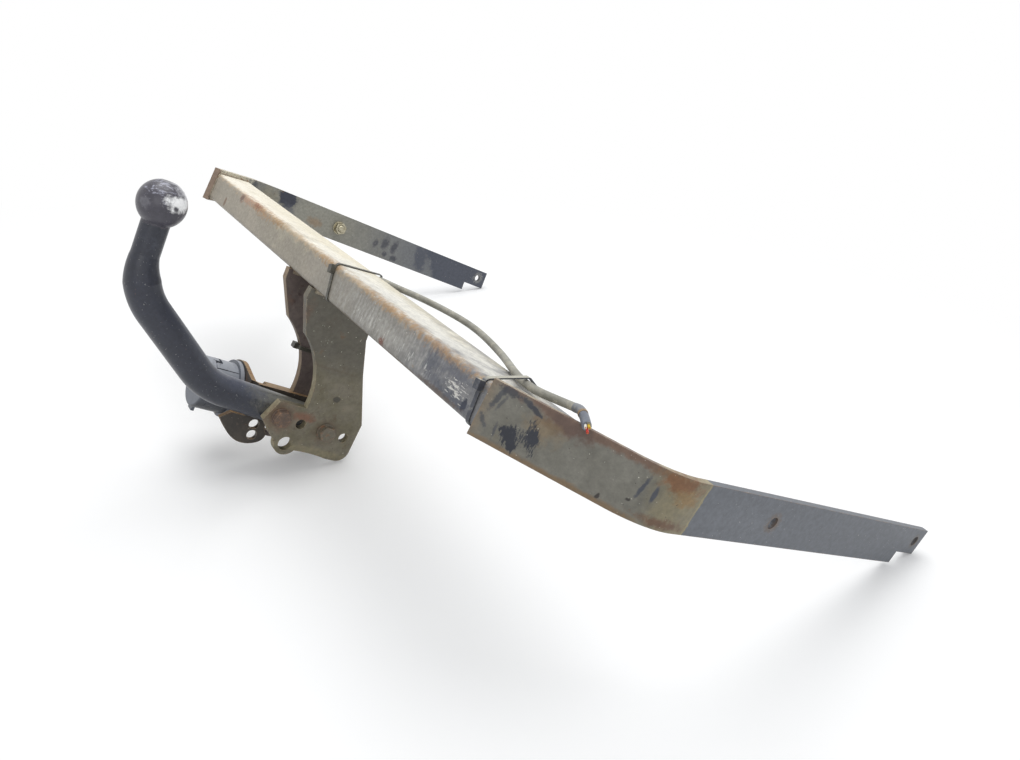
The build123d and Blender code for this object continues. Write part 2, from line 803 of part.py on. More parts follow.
with BuildPart() as socket_cable:
    with BuildLine() as lead_line:
        FilletPolyline(*lead_points, radius=lead_radii)
    with BuildSketch(Plane(lead_line.line @ 0, z_dir=lead_line.line % 0)):
        Circle(lead_size / 2)
    sweep()

with BuildPart() as cable_sleeve:
    with BuildLine() as sleeve_line:
        FilletPolyline(sleeve_start, sleeve_corner, sleeve_tip, radius=sleeve_radius)
    with BuildSketch(Plane(sleeve_line.line @ 0, z_dir=sleeve_line.line % 0)):
        Circle(sleeve_size / 2)
    sweep()

sleeve_end = Plane(sleeve_line.line @ 1, x_dir=(1, 0, 0), z_dir=sleeve_line.line % 1)

with BuildPart() as cable_cores:
    for length, turn in zip(core_lengths, (90, 210, 330)):
        with BuildSketch(sleeve_end):
            with PolarLocations(core_spread, 1, start_angle=turn):
                Circle(core_size / 2)
        extrude(amount=length)

lead_wire = lead_line.wires()[0]
full_volume = lead_wire.length * 3.14159 * lead_size**2 / 4
print("lead length:", round(lead_wire.length), "volume share:", round(socket_cable.part.volume / full_volume, 4))


# Cable ties: straps round a bar and the lead, cut from shells

def lead_by(place):
    """The point of the lead's centreline nearest to place."""
    return lead_wire.closest_points(Vertex(*place))[0]


def strap(section, size, corner, lead_place, stations, head_plane):
    """A closed strap round a bar and the lead, with its head on the bar's rear side.

    The stations are the strap's places along the bar, against the section plane's normal,
    at the bar's rear top, front top, front low and rear low edges.
    """
    rear_top, front_top, front_low, rear_low = stations
    along = section.z_dir * -1
    core_width = size[0] - 2 * corner
    core_height = size[1] - 2 * corner
    reach = max(size) / 2
    upper = Plane(section.origin, x_dir=section.x_dir, z_dir=section.y_dir)
    facing = Plane(section.origin, x_dir=along, z_dir=section.x_dir)
    with BuildPart() as shell:
        for grow, mode in ((tie_gap + tie_thickness, Mode.ADD), (tie_gap, Mode.SUBTRACT)):
            with BuildSketch(section):
                RectangleRounded(size[0] + 2 * grow, size[1] + 2 * grow, corner + grow)
                with Locations(lead_place):
                    Circle(lead_size / 2 + grow + lead_room)
                make_hull()
            extrude(amount=max(stations, key=abs) * -2, both=True, mode=mode)
    with BuildPart() as tie:
        for level, rear, front in ((1, rear_top, front_top), (-1, rear_low, front_low)):
            slope = (front - rear) / size[0]
            with BuildSketch(upper.offset(level * core_height / 2)):
                with BuildLine():
                    Polyline(
                        (-reach - size[0] / 2, rear - slope * reach - tie_width / 2),
                        (size[0] / 2 + reach, front + slope * reach - tie_width / 2),
                        (size[0] / 2 + reach, front + slope * reach + tie_width / 2),
                        (-reach - size[0] / 2, rear - slope * reach + tie_width / 2),
                        close=True,
                    )
                make_face()
            extrude(amount=level * size[1])
        for end, high, low in ((-1, rear_top, rear_low), (1, front_top, front_low)):
            with BuildSketch(facing.offset(end * core_width / 2)):
                with BuildLine():
                    Polyline(
                        (low - tie_width / 2, -core_height / 2),
                        (low + tie_width / 2, -core_height / 2),
                        (high + tie_width / 2, core_height / 2),
                        (high - tie_width / 2, core_height / 2),
                        close=True,
                    )
                make_face()
            extrude(amount=end * size[0])
        add(shell.part, mode=Mode.INTERSECT)
        with BuildSketch(head_plane):
            Rectangle(tie_head[0], tie_head[1])
        extrude(amount=tie_head[2])
    return tie


beam_size = (beam_width, beam_height)
tie_seat = -beam_width / 2 - tie_gap

middle_head = Plane((tie_seat, -69.5, 13), x_dir=(0, 0.375, 0.927), z_dir=(-1, 0, 0))
middle_lead = lead_by((45, -21, 16))
beam_tie_middle = strap(
    Plane.XZ,
    beam_size,
    beam_corner,
    (middle_lead.X, middle_lead.Z),
    (-69, -20, -49, -81),
    middle_head,
)

right_head = Plane((tie_seat, -383.5, 13), x_dir=(0, 0.1, 1), z_dir=(-1, 0, 0))
right_lead = lead_by((8, -376, 25))
beam_tie_right = strap(
    Plane.XZ,
    beam_size,
    beam_corner,
    (right_lead.X, right_lead.Z),
    (-383, -371, -376, -387),
    right_head,
)

stem_tie_z = -107
stem_rear = 9.5
stem_front = 82
stem_middle = (stem_rear + stem_front) / 2
stem_section = Plane((stem_middle, left_plate_face + plate_thickness / 2, 0))
stem_head = Plane((stem_rear - tie_gap, left_plate_face + 7, stem_tie_z), x_dir=(0, 1, 0), z_dir=(-1, 0, 0))
stem_lead = stem_section.to_local_coords(lead_by((76, 38.5, stem_tie_z)))
side_plate_tie = strap(
    stem_section,
    (stem_front - stem_rear, plate_thickness),
    1,
    (stem_lead.X, stem_lead.Y),
    (-stem_tie_z, -stem_tie_z, -stem_tie_z, -stem_tie_z),
    stem_head,
)


# The finished assembly is set down on its arms' teeth and its side plates' toes

pieces = {
    "cross_beam": cross_beam,
    "right_arm": right_arm,
    "left_arm": left_arm,
    "right_arm_weld": right_arm_weld,
    "left_arm_weld": left_arm_weld,
    "right_side_plate": right_side_plate,
    "left_side_plate": left_side_plate,
    "right_plate_weld": right_plate_weld,
    "left_plate_weld": left_plate_weld,
    "swan_neck": swan_neck,
    "neck_bolts": neck_bolts,
    "neck_bolt_washers": neck_bolt_washers,
    "neck_bolt_nuts": neck_bolt_nuts,
    "arm_bolt": arm_bolt,
    "arm_bolt_washer": arm_bolt_washer,
    "arm_bolt_nut": arm_bolt_nut,
    "socket_plate": socket_plate,
    "flange_gasket": flange_gasket,
    "socket_housing": socket_housing,
    "contact_insert": contact_insert,
    "socket_contacts": socket_contacts,
    "cable_boot": cable_boot,
    "socket_screws": socket_screws,
    "socket_nuts": socket_nuts,
    "socket_lid": socket_lid,
    "lid_seal": lid_seal,
    "lid_hinge_pin": lid_hinge_pin,
    "lid_spring": lid_spring,
    "beam_tie_middle": beam_tie_middle,
    "beam_tie_right": beam_tie_right,
    "side_plate_tie": side_plate_tie,
}
cord_pieces = {
    "socket_cable": socket_cable,
    "cable_sleeve": cable_sleeve,
    "cable_cores": cable_cores,
}

toe_centre = (plate_knee[0] - plate_toe_radius, plate_bottom + plate_toe_radius)
tooth = second_face.from_local_coords((arm_tooth, -arm_height))
toe_to_tooth = (tooth.X - toe_centre[0], tooth.Z - toe_centre[1])
pitch = degrees(atan2(toe_to_tooth[1], toe_to_tooth[0]) + asin(plate_toe_radius / hypot(*toe_to_tooth)))
tilted = Location((0, 0, 0), (0, pitch, 0))
boxes = [piece.part.moved(tilted).bounding_box() for piece in pieces.values()]
stand = Location(
    (
        -(min(box.min.X for box in boxes) + max(box.max.X for box in boxes)) / 2,
        -(min(box.min.Y for box in boxes) + max(box.max.Y for box in boxes)) / 2,
        -min(box.min.Z for box in boxes),
    ),
    (0, pitch, 0),
)
print("pitch:", round(pitch, 3), "set down by:", [round(value, 3) for value in stand.position])

for name, piece in (pieces | cord_pieces).items():
    piece.part.move(stand)
    piece.part.label = name
    export_step(piece.part, f"parts/{name}.step")
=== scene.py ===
import bpy
import json
from math import cos, hypot, pi, radians, sin, tan
from mathutils import Matrix, Vector


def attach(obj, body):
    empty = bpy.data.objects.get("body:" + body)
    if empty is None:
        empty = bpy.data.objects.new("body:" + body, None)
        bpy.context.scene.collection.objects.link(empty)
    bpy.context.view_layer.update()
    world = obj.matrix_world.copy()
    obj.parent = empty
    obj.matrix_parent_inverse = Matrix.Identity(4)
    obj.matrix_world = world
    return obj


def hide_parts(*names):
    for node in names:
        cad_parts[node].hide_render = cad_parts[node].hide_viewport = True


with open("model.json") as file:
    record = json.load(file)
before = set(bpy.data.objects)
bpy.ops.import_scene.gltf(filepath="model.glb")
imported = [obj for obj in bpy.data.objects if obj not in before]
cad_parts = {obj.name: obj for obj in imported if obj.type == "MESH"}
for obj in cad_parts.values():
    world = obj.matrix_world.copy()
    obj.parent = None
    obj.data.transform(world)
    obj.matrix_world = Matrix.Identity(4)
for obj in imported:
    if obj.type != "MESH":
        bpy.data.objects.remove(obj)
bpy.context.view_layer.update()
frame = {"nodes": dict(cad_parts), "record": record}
record = frame["record"]
nodes = frame["nodes"]
print("frame loaded:", len(nodes), "nodes")

# The bar's own axes: +X forwards, +Y left, +Z up, origin in the middle of the cross beam.
# The whole towbar is tipped forwards where it rests on the floor.
stand = {"pitch": 26.7524, "place": (-153.012, -1.258, 248.896)}  # degrees, mm
standTurn = Matrix.Rotation(radians(stand["pitch"]), 3, "Y")


def atBar(x, y, z):
    return (standTurn @ Vector((x, y, z)) + Vector(stand["place"])) / 1000


def faceFrame(origin, along, facing):
    # local axes of a flat face: x along it, y up it, z out of it
    up = facing.cross(along)
    axes = standTurn @ Matrix((along, up, facing)).transposed()
    return atBar(*origin), axes.to_euler()


# Camera

view = {"place": (-0.5062, -0.8793, 0.5654), "turn": (64.565, -4.846, -33.04), "lens": 28.46}
cameraData = bpy.data.cameras.new("camera")
cameraData.lens = view["lens"]
cameraData.clip_start = 0.02
camera = bpy.data.objects.new("camera", cameraData)
camera.location = view["place"]
camera.rotation_euler = [radians(turn) for turn in view["turn"]]
bpy.context.scene.collection.objects.link(camera)
bpy.context.scene.camera = camera


# Materials

def linear(hexColour):
    parts = [int(hexColour[i:i + 2], 16) / 255 for i in (1, 3, 5)]
    return tuple(p / 12.92 if p <= 0.04045 else ((p + 0.055) / 1.055) ** 2.4 for p in parts) + (1,)


def addNode(mat, kind, settings={}, links={}):
    node = mat.node_tree.nodes.new("ShaderNode" + kind)
    for name, value in settings.items():
        if isinstance(name, str) and hasattr(node, name):
            setattr(node, name, value)
        else:
            node.inputs[name].default_value = value
    for name, source in links.items():
        if hasattr(source, "outputs"):
            source = source.outputs[0]  # a node alone stands for its first output
        mat.node_tree.links.new(source, node.inputs[name])
    return node


def newMaterial(name):
    mat = bpy.data.materials.new(name)
    mat.use_nodes = True
    mat.node_tree.nodes.clear()
    return mat


def millimetres(mat, on):
    # object coordinates carried onto a face's own axes, in mm
    coords = addNode(mat, "TexCoord").outputs["Object"]
    place, turn = on
    settings = {"vector_type": "TEXTURE", "Location": place, "Rotation": tuple(turn), "Scale": (0.001,) * 3}
    return addNode(mat, "Mapping", settings, {"Vector": coords})


def cloud(mat, coords, size, low, high, stretch=(1, 1, 1), detail=6):
    # 0 to 1 mask of cloudy patches about size mm across
    scale = [1 / size / s for s in stretch]
    run = addNode(mat, "VectorMath", {"operation": "MULTIPLY", 1: scale}, {0: coords})
    noise = addNode(mat, "TexNoise", {"Scale": 1.0, "Detail": detail, "Roughness": 0.62}, {"Vector": run})
    return addNode(mat, "MapRange", {"From Min": low, "From Max": high}, {"Value": noise})


def wornEdge(mat, width):
    # 1 where the surface turns within width mm
    rounded = addNode(mat, "Bevel", {"samples": 6, "Radius": width / 1000})
    flat = addNode(mat, "NewGeometry").outputs["Normal"]
    along = addNode(mat, "VectorMath", {"operation": "DOT_PRODUCT"}, {0: rounded, 1: flat}).outputs["Value"]
    return addNode(mat, "MapRange", {"From Min": 1.0, "From Max": 0.88}, {"Value": along})


def mark(on, at, size, colour, grain, ragged=0.9, soft=0.4, **more):
    # one mark on a named face: an oval at (x, y), or a square block, or everything past a line;
    # sizes and the grain of its broken rim in mm, turn in degrees; deep is its reach in and out of
    # the face, depth its place there, and sparse thins it
    return dict(more, on=on, at=at, size=size, colour=colour, grain=grain, ragged=ragged, soft=soft)


def markMask(mat, coords, spec, depth):
    place = (*spec["at"], spec.get("depth", depth))
    turn = (0, 0, radians(spec.get("turn", 0)))
    size = (*spec["size"], spec.get("deep", 4))
    settings = {"vector_type": "TEXTURE", "Location": place, "Rotation": turn, "Scale": size}
    spot = addNode(mat, "Mapping", settings, {"Vector": coords})
    if spec.get("past"):
        reach = addNode(mat, "SeparateXYZ", {}, {0: spot})
        reach = addNode(mat, "Math", {"operation": "SUBTRACT", 0: 1.0}, {1: reach})
    elif spec.get("block"):
        sides = addNode(mat, "VectorMath", {"operation": "ABSOLUTE"}, {0: spot})
        across = addNode(mat, "SeparateXYZ", {}, {0: sides}).outputs
        reach = addNode(mat, "Math", {"operation": "MAXIMUM"}, {0: across[0], 1: across[1]})
    else:
        reach = addNode(mat, "VectorMath", {"operation": "LENGTH"}, {0: spot}).outputs["Value"]
    scale = [1 / spec["grain"] / s for s in spec.get("stretch", (1, 1, 1))]
    run = addNode(mat, "VectorMath", {"operation": "MULTIPLY", 1: scale}, {0: coords})
    noise = addNode(mat, "TexNoise", {"Scale": 1.0, "Detail": 5, "Roughness": 0.7}, {"Vector": run})
    ragged = spec["ragged"]
    settings = {"operation": "MULTIPLY_ADD", 1: 2 * ragged, 2: spec.get("sparse", 0) - ragged}
    rough = addNode(mat, "Math", settings, {0: noise})
    total = addNode(mat, "Math", {"operation": "ADD"}, {0: reach, 1: rough})
    settings = {"From Min": 1 + spec["soft"], "From Max": 1 - spec["soft"], "To Max": spec.get("strength", 1)}
    return addNode(mat, "MapRange", settings, {"Value": total})


def facing(mat, direction, low, high):
    # 1 where the surface looks along a direction of the bar
    toward = standTurn @ Vector(direction)
    normal = addNode(mat, "NewGeometry").outputs["Normal"]
    along = addNode(mat, "VectorMath", {"operation": "DOT_PRODUCT", 1: toward}, {0: normal}).outputs["Value"]
    return addNode(mat, "MapRange", {"From Min": low, "From Max": high}, {"Value": along})


def layered(mat, shade, coats):
    # each coat is a colour and the mask that it shows through
    for colour, mask in coats:
        shade = addNode(mat, "Mix", {"data_type": "RGBA", 7: linear(colour)}, {0: mask, 6: shade}).outputs[2]
    return shade


def wornSteel(name, looks):
    # paint in two tones, then stains, marks, rust, worn edges and specks, one over the other;
    # the first of its faces carries the patches
    mat = newMaterial(name)
    faces = {key: millimetres(mat, on) for key, on in looks.get("faces", {"bar": onBar}).items()}
    coords = next(iter(faces.values()))
    paint, paintOther = looks["paint"]
    tone = cloud(mat, coords, looks["patch"], 0.38, 0.62)
    settings = {"data_type": "RGBA", 6: linear(paint), 7: linear(paintOther)}
    shade = addNode(mat, "Mix", settings, {0: tone}).outputs[2]
    # the coats laid by facing are painted light and shade: a face that looks one way is drawn paler or darker
    coats = [(colour, facing(mat, *side)) for colour, *side in looks.get("sides", ())]
    coats += [(colour, cloud(mat, coords, *patch)) for colour, *patch in looks.get("stains", ())]
    for spec in looks.get("marks", ()):
        coats.append((spec["colour"], markMask(mat, faces[spec["on"]], spec, looks.get("depth", 0))))
    rustLight, rustDark, rustSize, rustLow, rustHigh = looks["rust"]
    rust = cloud(mat, coords, rustSize, rustLow, rustHigh, detail=9)
    if "edge" in looks:
        edgeColour, edgeWidth, edgeLow, edgeHigh = looks["edge"]
        edge = wornEdge(mat, edgeWidth)
        chipped = cloud(mat, coords, 7, edgeLow, edgeHigh)
        coats.append((edgeColour, addNode(mat, "Math", {"operation": "MULTIPLY"}, {0: edge, 1: chipped})))
    coats.append((rustLight, rust))
    deep = cloud(mat, coords, rustSize * 0.4, rustLow, rustHigh + 0.04, detail=9)
    deepRust = addNode(mat, "Math", {"operation": "MULTIPLY"}, {0: rust, 1: deep})
    coats.append((rustDark, deepRust))
    for colour, size, low, high in looks.get("specks", ()):
        coats.append((colour, cloud(mat, coords, size, low, high, detail=1)))
    shade = layered(mat, shade, coats)
    settings = {"Scale": 1 / looks.get("dirt", 4.5), "Detail": 9, "Roughness": 0.72}
    dirt = addNode(mat, "TexNoise", settings, {"Vector": coords})
    settings = {"From Min": 0.36, "From Max": 0.62, "To Min": 1.14, "To Max": 0.84}
    dimmer = addNode(mat, "MapRange", settings, {"Value": dirt})
    shade = addNode(mat, "VectorMath", {"operation": "SCALE"}, {0: shade, "Scale": dimmer})
    paintRough, rustRough = looks["rough"]
    gloss = addNode(mat, "MapRange", {"To Min": paintRough, "To Max": rustRough}, {"Value": rust})
    # real grit is finer than a pixel here, so it is drawn as coarse as it needs to show
    grit = addNode(mat, "TexNoise", {"Scale": 1 / looks.get("grit", 1.6), "Detail": 4}, {"Vector": coords})
    swell = addNode(mat, "TexNoise", {"Scale": 1 / 14, "Detail": 3}, {"Vector": coords})
    height = addNode(mat, "Math", {"operation": "MULTIPLY_ADD", 1: 0.25}, {0: grit, 2: swell})
    height = addNode(mat, "Math", {"operation": "MULTIPLY_ADD", 1: 0.7}, {0: deepRust, 2: height})
    bump = addNode(mat, "Bump", {"Strength": looks["relief"], "Distance": 0.0006}, {"Height": height})
    links = {"Base Color": shade, "Roughness": gloss, "Normal": bump}
    shader = addNode(mat, "BsdfPrincipled", {"Metallic": 0.0, "IOR": 1.5}, links)
    addNode(mat, "OutputMaterial", {}, {0: shader})
    return mat


def plainStock(name, looks):
    # moulded, plated or drawn stock: two close tones, fine grain, scuffs and dust
    mat = newMaterial(name)
    coords = millimetres(mat, onBar)
    tone = cloud(mat, coords, looks.get("patch", 12), 0.4, 0.62)
    settings = {"data_type": "RGBA", 6: linear(looks["colour"]), 7: linear(looks["other"])}
    shade = addNode(mat, "Mix", settings, {0: tone}).outputs[2]
    # the coats laid by facing are painted light and shade: a face that looks one way is drawn paler or darker
    coats = [(colour, facing(mat, *side)) for colour, *side in looks.get("sides", ())]
    dust = cloud(mat, coords, *looks.get("dusty", (5, 0.58, 0.72)))
    coats.append((looks["dust"], dust))
    if "scuff" in looks:
        scuffed = wornEdge(mat, looks.get("scuffWidth", 0.8))
        broken = cloud(mat, coords, 4, 0.42, 0.6)
        coats.append((looks["scuff"], addNode(mat, "Math", {"operation": "MULTIPLY"}, {0: scuffed, 1: broken})))
    shade = layered(mat, shade, coats)
    smooth, dull = looks["rough"]
    gloss = addNode(mat, "MapRange", {"To Min": smooth, "To Max": dull}, {"Value": dust})
    grain = addNode(mat, "TexNoise", {"Scale": 1 / looks.get("grain", 0.8), "Detail": 3}, {"Vector": coords})
    bump = addNode(mat, "Bump", {"Strength": looks.get("relief", 0.35), "Distance": 0.0003}, {"Height": grain})
    settings = {"Metallic": 1.0} if looks.get("metal") else {"Metallic": 0.0, "IOR": 1.5}
    links = {"Base Color": shade, "Roughness": gloss, "Normal": bump}
    addNode(mat, "OutputMaterial", {}, {0: addNode(mat, "BsdfPrincipled", settings, links)})
    return mat


def finish(names, mat):
    for name in names:
        for slot in nodes[name].material_slots:
            slot.material = mat


# Faces that the marks are placed on

armShape = {"splay": 48, "turn": 50, "tilt": 7, "first": 165, "overhang": 2, "thick": 8, "rise": 6}
beamSize = {"length": 796, "wide": 80, "tall": 40, "corner": 6}
splay = radians(armShape["splay"])
ahead = Vector((cos(splay), -sin(splay), 0))
outwards = Vector((-sin(splay), -cos(splay), 0))
armFold = Vector((-beamSize["wide"] / 2, -beamSize["length"] / 2, beamSize["tall"] / 2 + armShape["rise"]))
armFold += outwards * armShape["thick"] + ahead * (armShape["first"] - armShape["overhang"])
tilt = radians(armShape["tilt"])
foldTurn = Matrix.Rotation(radians(armShape["turn"]), 3, Vector((0, 0, cos(tilt))) + ahead * sin(tilt))
aheadNow, outwardsNow = foldTurn @ ahead, foldTurn @ outwards


def mirrored(v):
    return Vector((v.x, -v.y, v.z))


onBar = faceFrame((0, 0, 0), Vector((1, 0, 0)), Vector((0, -1, 0)))
onRear = faceFrame((-beamSize["wide"] / 2, 0, 0), Vector((0, -1, 0)), Vector((-1, 0, 0)))
onTop = faceFrame((0, 0, beamSize["tall"] / 2), Vector((0, -1, 0)), Vector((0, 0, 1)))
onRightFirst = faceFrame(armFold, ahead, outwards)
onRightSecond = faceFrame(armFold, aheadNow, outwardsNow)
onLeftFirst = faceFrame(mirrored(armFold), mirrored(ahead), -mirrored(outwards))
onLeftSecond = faceFrame(mirrored(armFold), mirrored(aheadNow), -mirrored(outwardsNow))
plateFaces = {"right": -27, "left": 23}  # mm: the right plate's outer face, the left one's inner
onRightPlate = faceFrame((0, plateFaces["right"], 0), Vector((1, 0, 0)), Vector((0, -1, 0)))
onLeftPlate = faceFrame((0, plateFaces["left"], 0), Vector((1, 0, 0)), Vector((0, -1, 0)))
mounts = {mount["name"]: mount for mount in record["mounts"]}
ballLean = 4.3  # degrees, towards the rear
ballTurn = Matrix.Rotation(radians(stand["pitch"] - ballLean), 3, "Y")
onBall = (Vector(mounts["towball"]["pos_m"]), ballTurn.to_euler())


# Socket lead, from the boot up the left side plate, over the bar and along it to its bare end

leadRoute = [
    (-2, 68, -198), (41, 68, -198), (82, 63, -186), (97, 47, -150), (75, 38, -104), (66, 46, -62),
    (56, 38, -18), (54, 14, 5), (46.5, -6, 12.5), (44.3, -32, 17), (50, -52, 18.4), (58, -82, 22),
    (66, -109, 24.3), (74, -135, 25.8), (79, -164, 26.9), (78, -196, 27), (70, -233, 26),
    (59, -273, 24.2), (43, -304, 24.6), (22, -342, 25.2), (9, -373, 25.2), (6, -396, 26.4),
    (13.8, -417, 29.3), (13.6, -435.4, 32.3), (13.4, -446.2, 34), (-0.2, -469, 28.5),
]
lead = {"size": 7.5, "length": 0.803}


def softLine(name, points, size, resolution=12):
    curve = bpy.data.curves.new(name, "CURVE")
    curve.dimensions = "3D"
    curve.resolution_u = resolution
    curve.bevel_depth = size / 2000
    curve.bevel_resolution = 6
    curve.use_fill_caps = True
    spline = curve.splines.new("NURBS")
    spline.points.add(len(points) - 1)
    for point, place in zip(spline.points, points):
        point.co = (*place, 1)
    spline.order_u = 3
    spline.use_endpoint_u = True
    obj = bpy.data.objects.new(name, curve)
    bpy.context.scene.collection.objects.link(obj)
    return obj


def lineOf(obj):
    # points along a curve's own line, with no bevel
    bare = obj.data.copy()
    bare.bevel_depth = 0
    ghost = bpy.data.objects.new("bare line", bare)
    bpy.context.scene.collection.objects.link(ghost)
    mesh = bpy.data.meshes.new_from_object(ghost)
    points = [vertex.co.copy() for vertex in mesh.vertices]
    bpy.data.objects.remove(ghost)
    bpy.data.meshes.remove(mesh)
    return points


def newPiece(name, vertices, polygons, mat, sharp):
    mesh = bpy.data.meshes.new(name)
    mesh.from_pydata([tuple(v) for v in vertices], [], polygons)
    mesh.validate()
    mesh.shade_smooth()
    mesh.set_sharp_from_angle(angle=radians(sharp))
    mesh.materials.append(mat)
    obj = bpy.data.objects.new(name, mesh)
    bpy.context.scene.collection.objects.link(obj)
    return obj


def rings(name, loops, mat, joined=False, sharp=35):
    # a skin over loops of equal point counts, closed at both ends or joined into a ring
    count = len(loops[0])
    vertices = [point for loop in loops for point in loop]
    polygons = []
    pairs = list(zip(range(len(loops)), range(1, len(loops))))
    if joined:
        pairs.append((len(loops) - 1, 0))
    for a, b in pairs:
        for i in range(count):
            j = (i + 1) % count
            polygons.append((a * count + i, a * count + j, b * count + j, b * count + i))
    if not joined:
        polygons.append(tuple(reversed(range(count))))
        polygons.append(tuple(range((len(loops) - 1) * count, len(loops) * count)))
    return newPiece(name, vertices, polygons, mat, sharp)


def axesAlong(direction):
    # two axes square to a direction, and the direction itself
    direction = direction.normalized()
    side = Vector((0, 0, 1)).cross(direction)
    if side.length < 0.01:
        side = Vector((1, 0, 0)).cross(direction)
    side.normalize()
    return side, direction.cross(side), direction


def tubeAlong(name, line, radii, mat):
    # a tube whose radius changes along its line; radii in mm
    around = 20
    loops = []
    for i, place in enumerate(line):
        run = line[min(i + 1, len(line) - 1)] - line[max(i - 1, 0)]
        side, up, _ = axesAlong(run)
        radius = radii[i] / 1000
        loops.append([
            place + (side * cos(2 * pi * k / around) + up * sin(2 * pi * k / around)) * radius
            for k in range(around)
        ])
    return rings(name, loops, mat, sharp=50)


sheath = plainStock("PVC cable sheath, extruded", {
    # dull grey, dusty, a little brown where hands and dirt reached it
    "colour": "#9c9a90", "other": "#86847a", "patch": 30, "dust": "#b9b4a4",
    "dusty": (9, 0.5, 0.7), "rough": (0.5, 0.75), "grain": 1.5, "relief": 0.3,
})
leadPoints = [atBar(*point) for point in leadRoute]
leadPiece = softLine("socketLead", leadPoints, lead["size"])
leadPiece.data.materials.append(sheath)
leadLine = lineOf(leadPiece)
laid = sum((b - a).length for a, b in zip(leadLine, leadLine[1:]))
print("lead laid:", len(leadLine), "points,", round(laid, 4), "m")

# Sleeve over the lead's end, and the bare cores

sleeve = {"size": 8.4, "covers": 37, "cuff": 20, "band": 3.2}  # mm; the dark end is cuff mm long
sleevePlastic = plainStock("Heat-shrink sleeve, polyolefin", {
    # dark blue-black with a dull shine
    "colour": "#5f6470", "other": "#6d727e", "patch": 6, "dust": "#7a7974",
    "rough": (0.38, 0.6), "grain": 1.2, "relief": 0.4,
})
cuffPlastic = plainStock("Heat-shrink sleeve, chalked", {
    # the same sleeve gone pale and dusty before the corner
    "colour": "#85878a", "other": "#787b82", "patch": 7, "dust": "#a19d90",
    "rough": (0.45, 0.7), "grain": 1.2, "relief": 0.4,
})
clothTape = plainStock("Cloth tape, wound", {
    # tan, fibrous, dirty at its edges
    "colour": "#a08a6e", "other": "#86715a", "patch": 3, "dust": "#6b5b4a",
    "rough": (0.75, 0.9), "grain": 0.6, "relief": 0.5,
})


def lastOf(line, reach):
    # the end of a line, reach mm long
    run = 0.0
    part = [line[-1]]
    for a, b in zip(reversed(line[:-1]), reversed(line)):
        step = (a - b).length
        if (run + step) * 1000 >= reach:
            part.insert(0, b.lerp(a, (reach / 1000 - run) / step))
            break
        run += step
        part.insert(0, a)
    return part


def wavy(count, size, swell=0.12):
    # radii of a shrunk sleeve: slight waves, drawn in at both ends
    radii = [size / 2 - swell * (1 + sin(i / (count - 1) * 40)) for i in range(count)]
    radii[0] -= 0.35
    radii[-1] -= 0.1
    return radii


endLine = lastOf(leadLine, sleeve["cuff"])
wholeLine = lastOf(leadLine, sleeve["covers"])
beforeEnd = wholeLine[:len(wholeLine) - len(endLine) + 1] + endLine[:1]
cuffLine = lastOf(beforeEnd, sleeve["covers"] - sleeve["cuff"])
bandLine = lastOf(cuffLine, sleeve["band"])
sleevePiece = tubeAlong("cableSleeve", endLine, wavy(len(endLine), sleeve["size"]), sleevePlastic)
cuffPiece = tubeAlong("sleeveCuff", cuffLine, wavy(len(cuffLine), sleeve["size"] - 0.2, 0.05), cuffPlastic)
bandRadii = [sleeve["size"] / 2 + 0.05 + 0.1 * sin(i * 2.5) for i in range(len(bandLine))]
bandPiece = tubeAlong("sleeveTape", bandLine, bandRadii, clothTape)

cores = {
    "size": 2.2, "spread": 1.35, "strand": 1.1,  # mm
    "each": ((5, 150, "#e9e6dc"), (5, 30, "#d9b52e"), (8, 270, "#c4342c")),  # length, degrees round, colour
}
copper = plainStock("Copper strands, drawn", {
    # bright orange-brown wire ends
    "colour": "#c07a4e", "other": "#a8643c", "patch": 2, "dust": "#8a5a3a",
    "metal": True, "rough": (0.3, 0.5), "grain": 0.4,
})
endSide, endUp, endAlong = axesAlong(leadLine[-1] - leadLine[-3])
corePieces = []
for number, (length, turn, colour) in enumerate(cores["each"], 1):
    away = endSide * cos(radians(turn)) + endUp * sin(radians(turn))
    start = leadLine[-1] + away * cores["spread"] / 1000 - endAlong * 0.001
    middle = start + endAlong * (0.001 + length * 0.0005) + away * 0.0002
    end = start + endAlong * (0.001 + length * 0.001) + away * 0.0005
    insulation = plainStock("PVC core insulation " + str(number), {
        # clean bright colour, cut square
        "colour": colour, "other": colour, "patch": 4, "dust": "#b8b0a0",
        "dusty": (5, 0.66, 0.8), "rough": (0.35, 0.5),
    })
    core = softLine("core" + str(number), [start, middle, end], cores["size"])
    core.data.materials.append(insulation)
    strands = softLine("strands" + str(number), [end - away * 0.0001, end + endAlong * 0.0006], cores["strand"])
    strands.data.materials.append(copper)
    corePieces += [core, strands]
sleevePieces = [sleevePiece, cuffPiece, bandPiece]


def placePieces(pieces, node):
    # the pieces ride on the frame together and stand for one CAD node
    for piece in pieces:
        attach(piece, "frame")
    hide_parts(node)


placePieces([leadPiece], "socket_cable")
placePieces(sleevePieces, "cable_sleeve")
placePieces(corePieces, "cable_cores")


# Floor and light

def backgroundRays(tree):
    # 1 for the rays that see the background: the camera's and those that gloss sends back
    path = addNode(tree, "LightPath").outputs
    links = {0: path["Is Camera Ray"], 1: path["Is Glossy Ray"]}
    return path, addNode(tree, "Math", {"operation": "MAXIMUM"}, links)


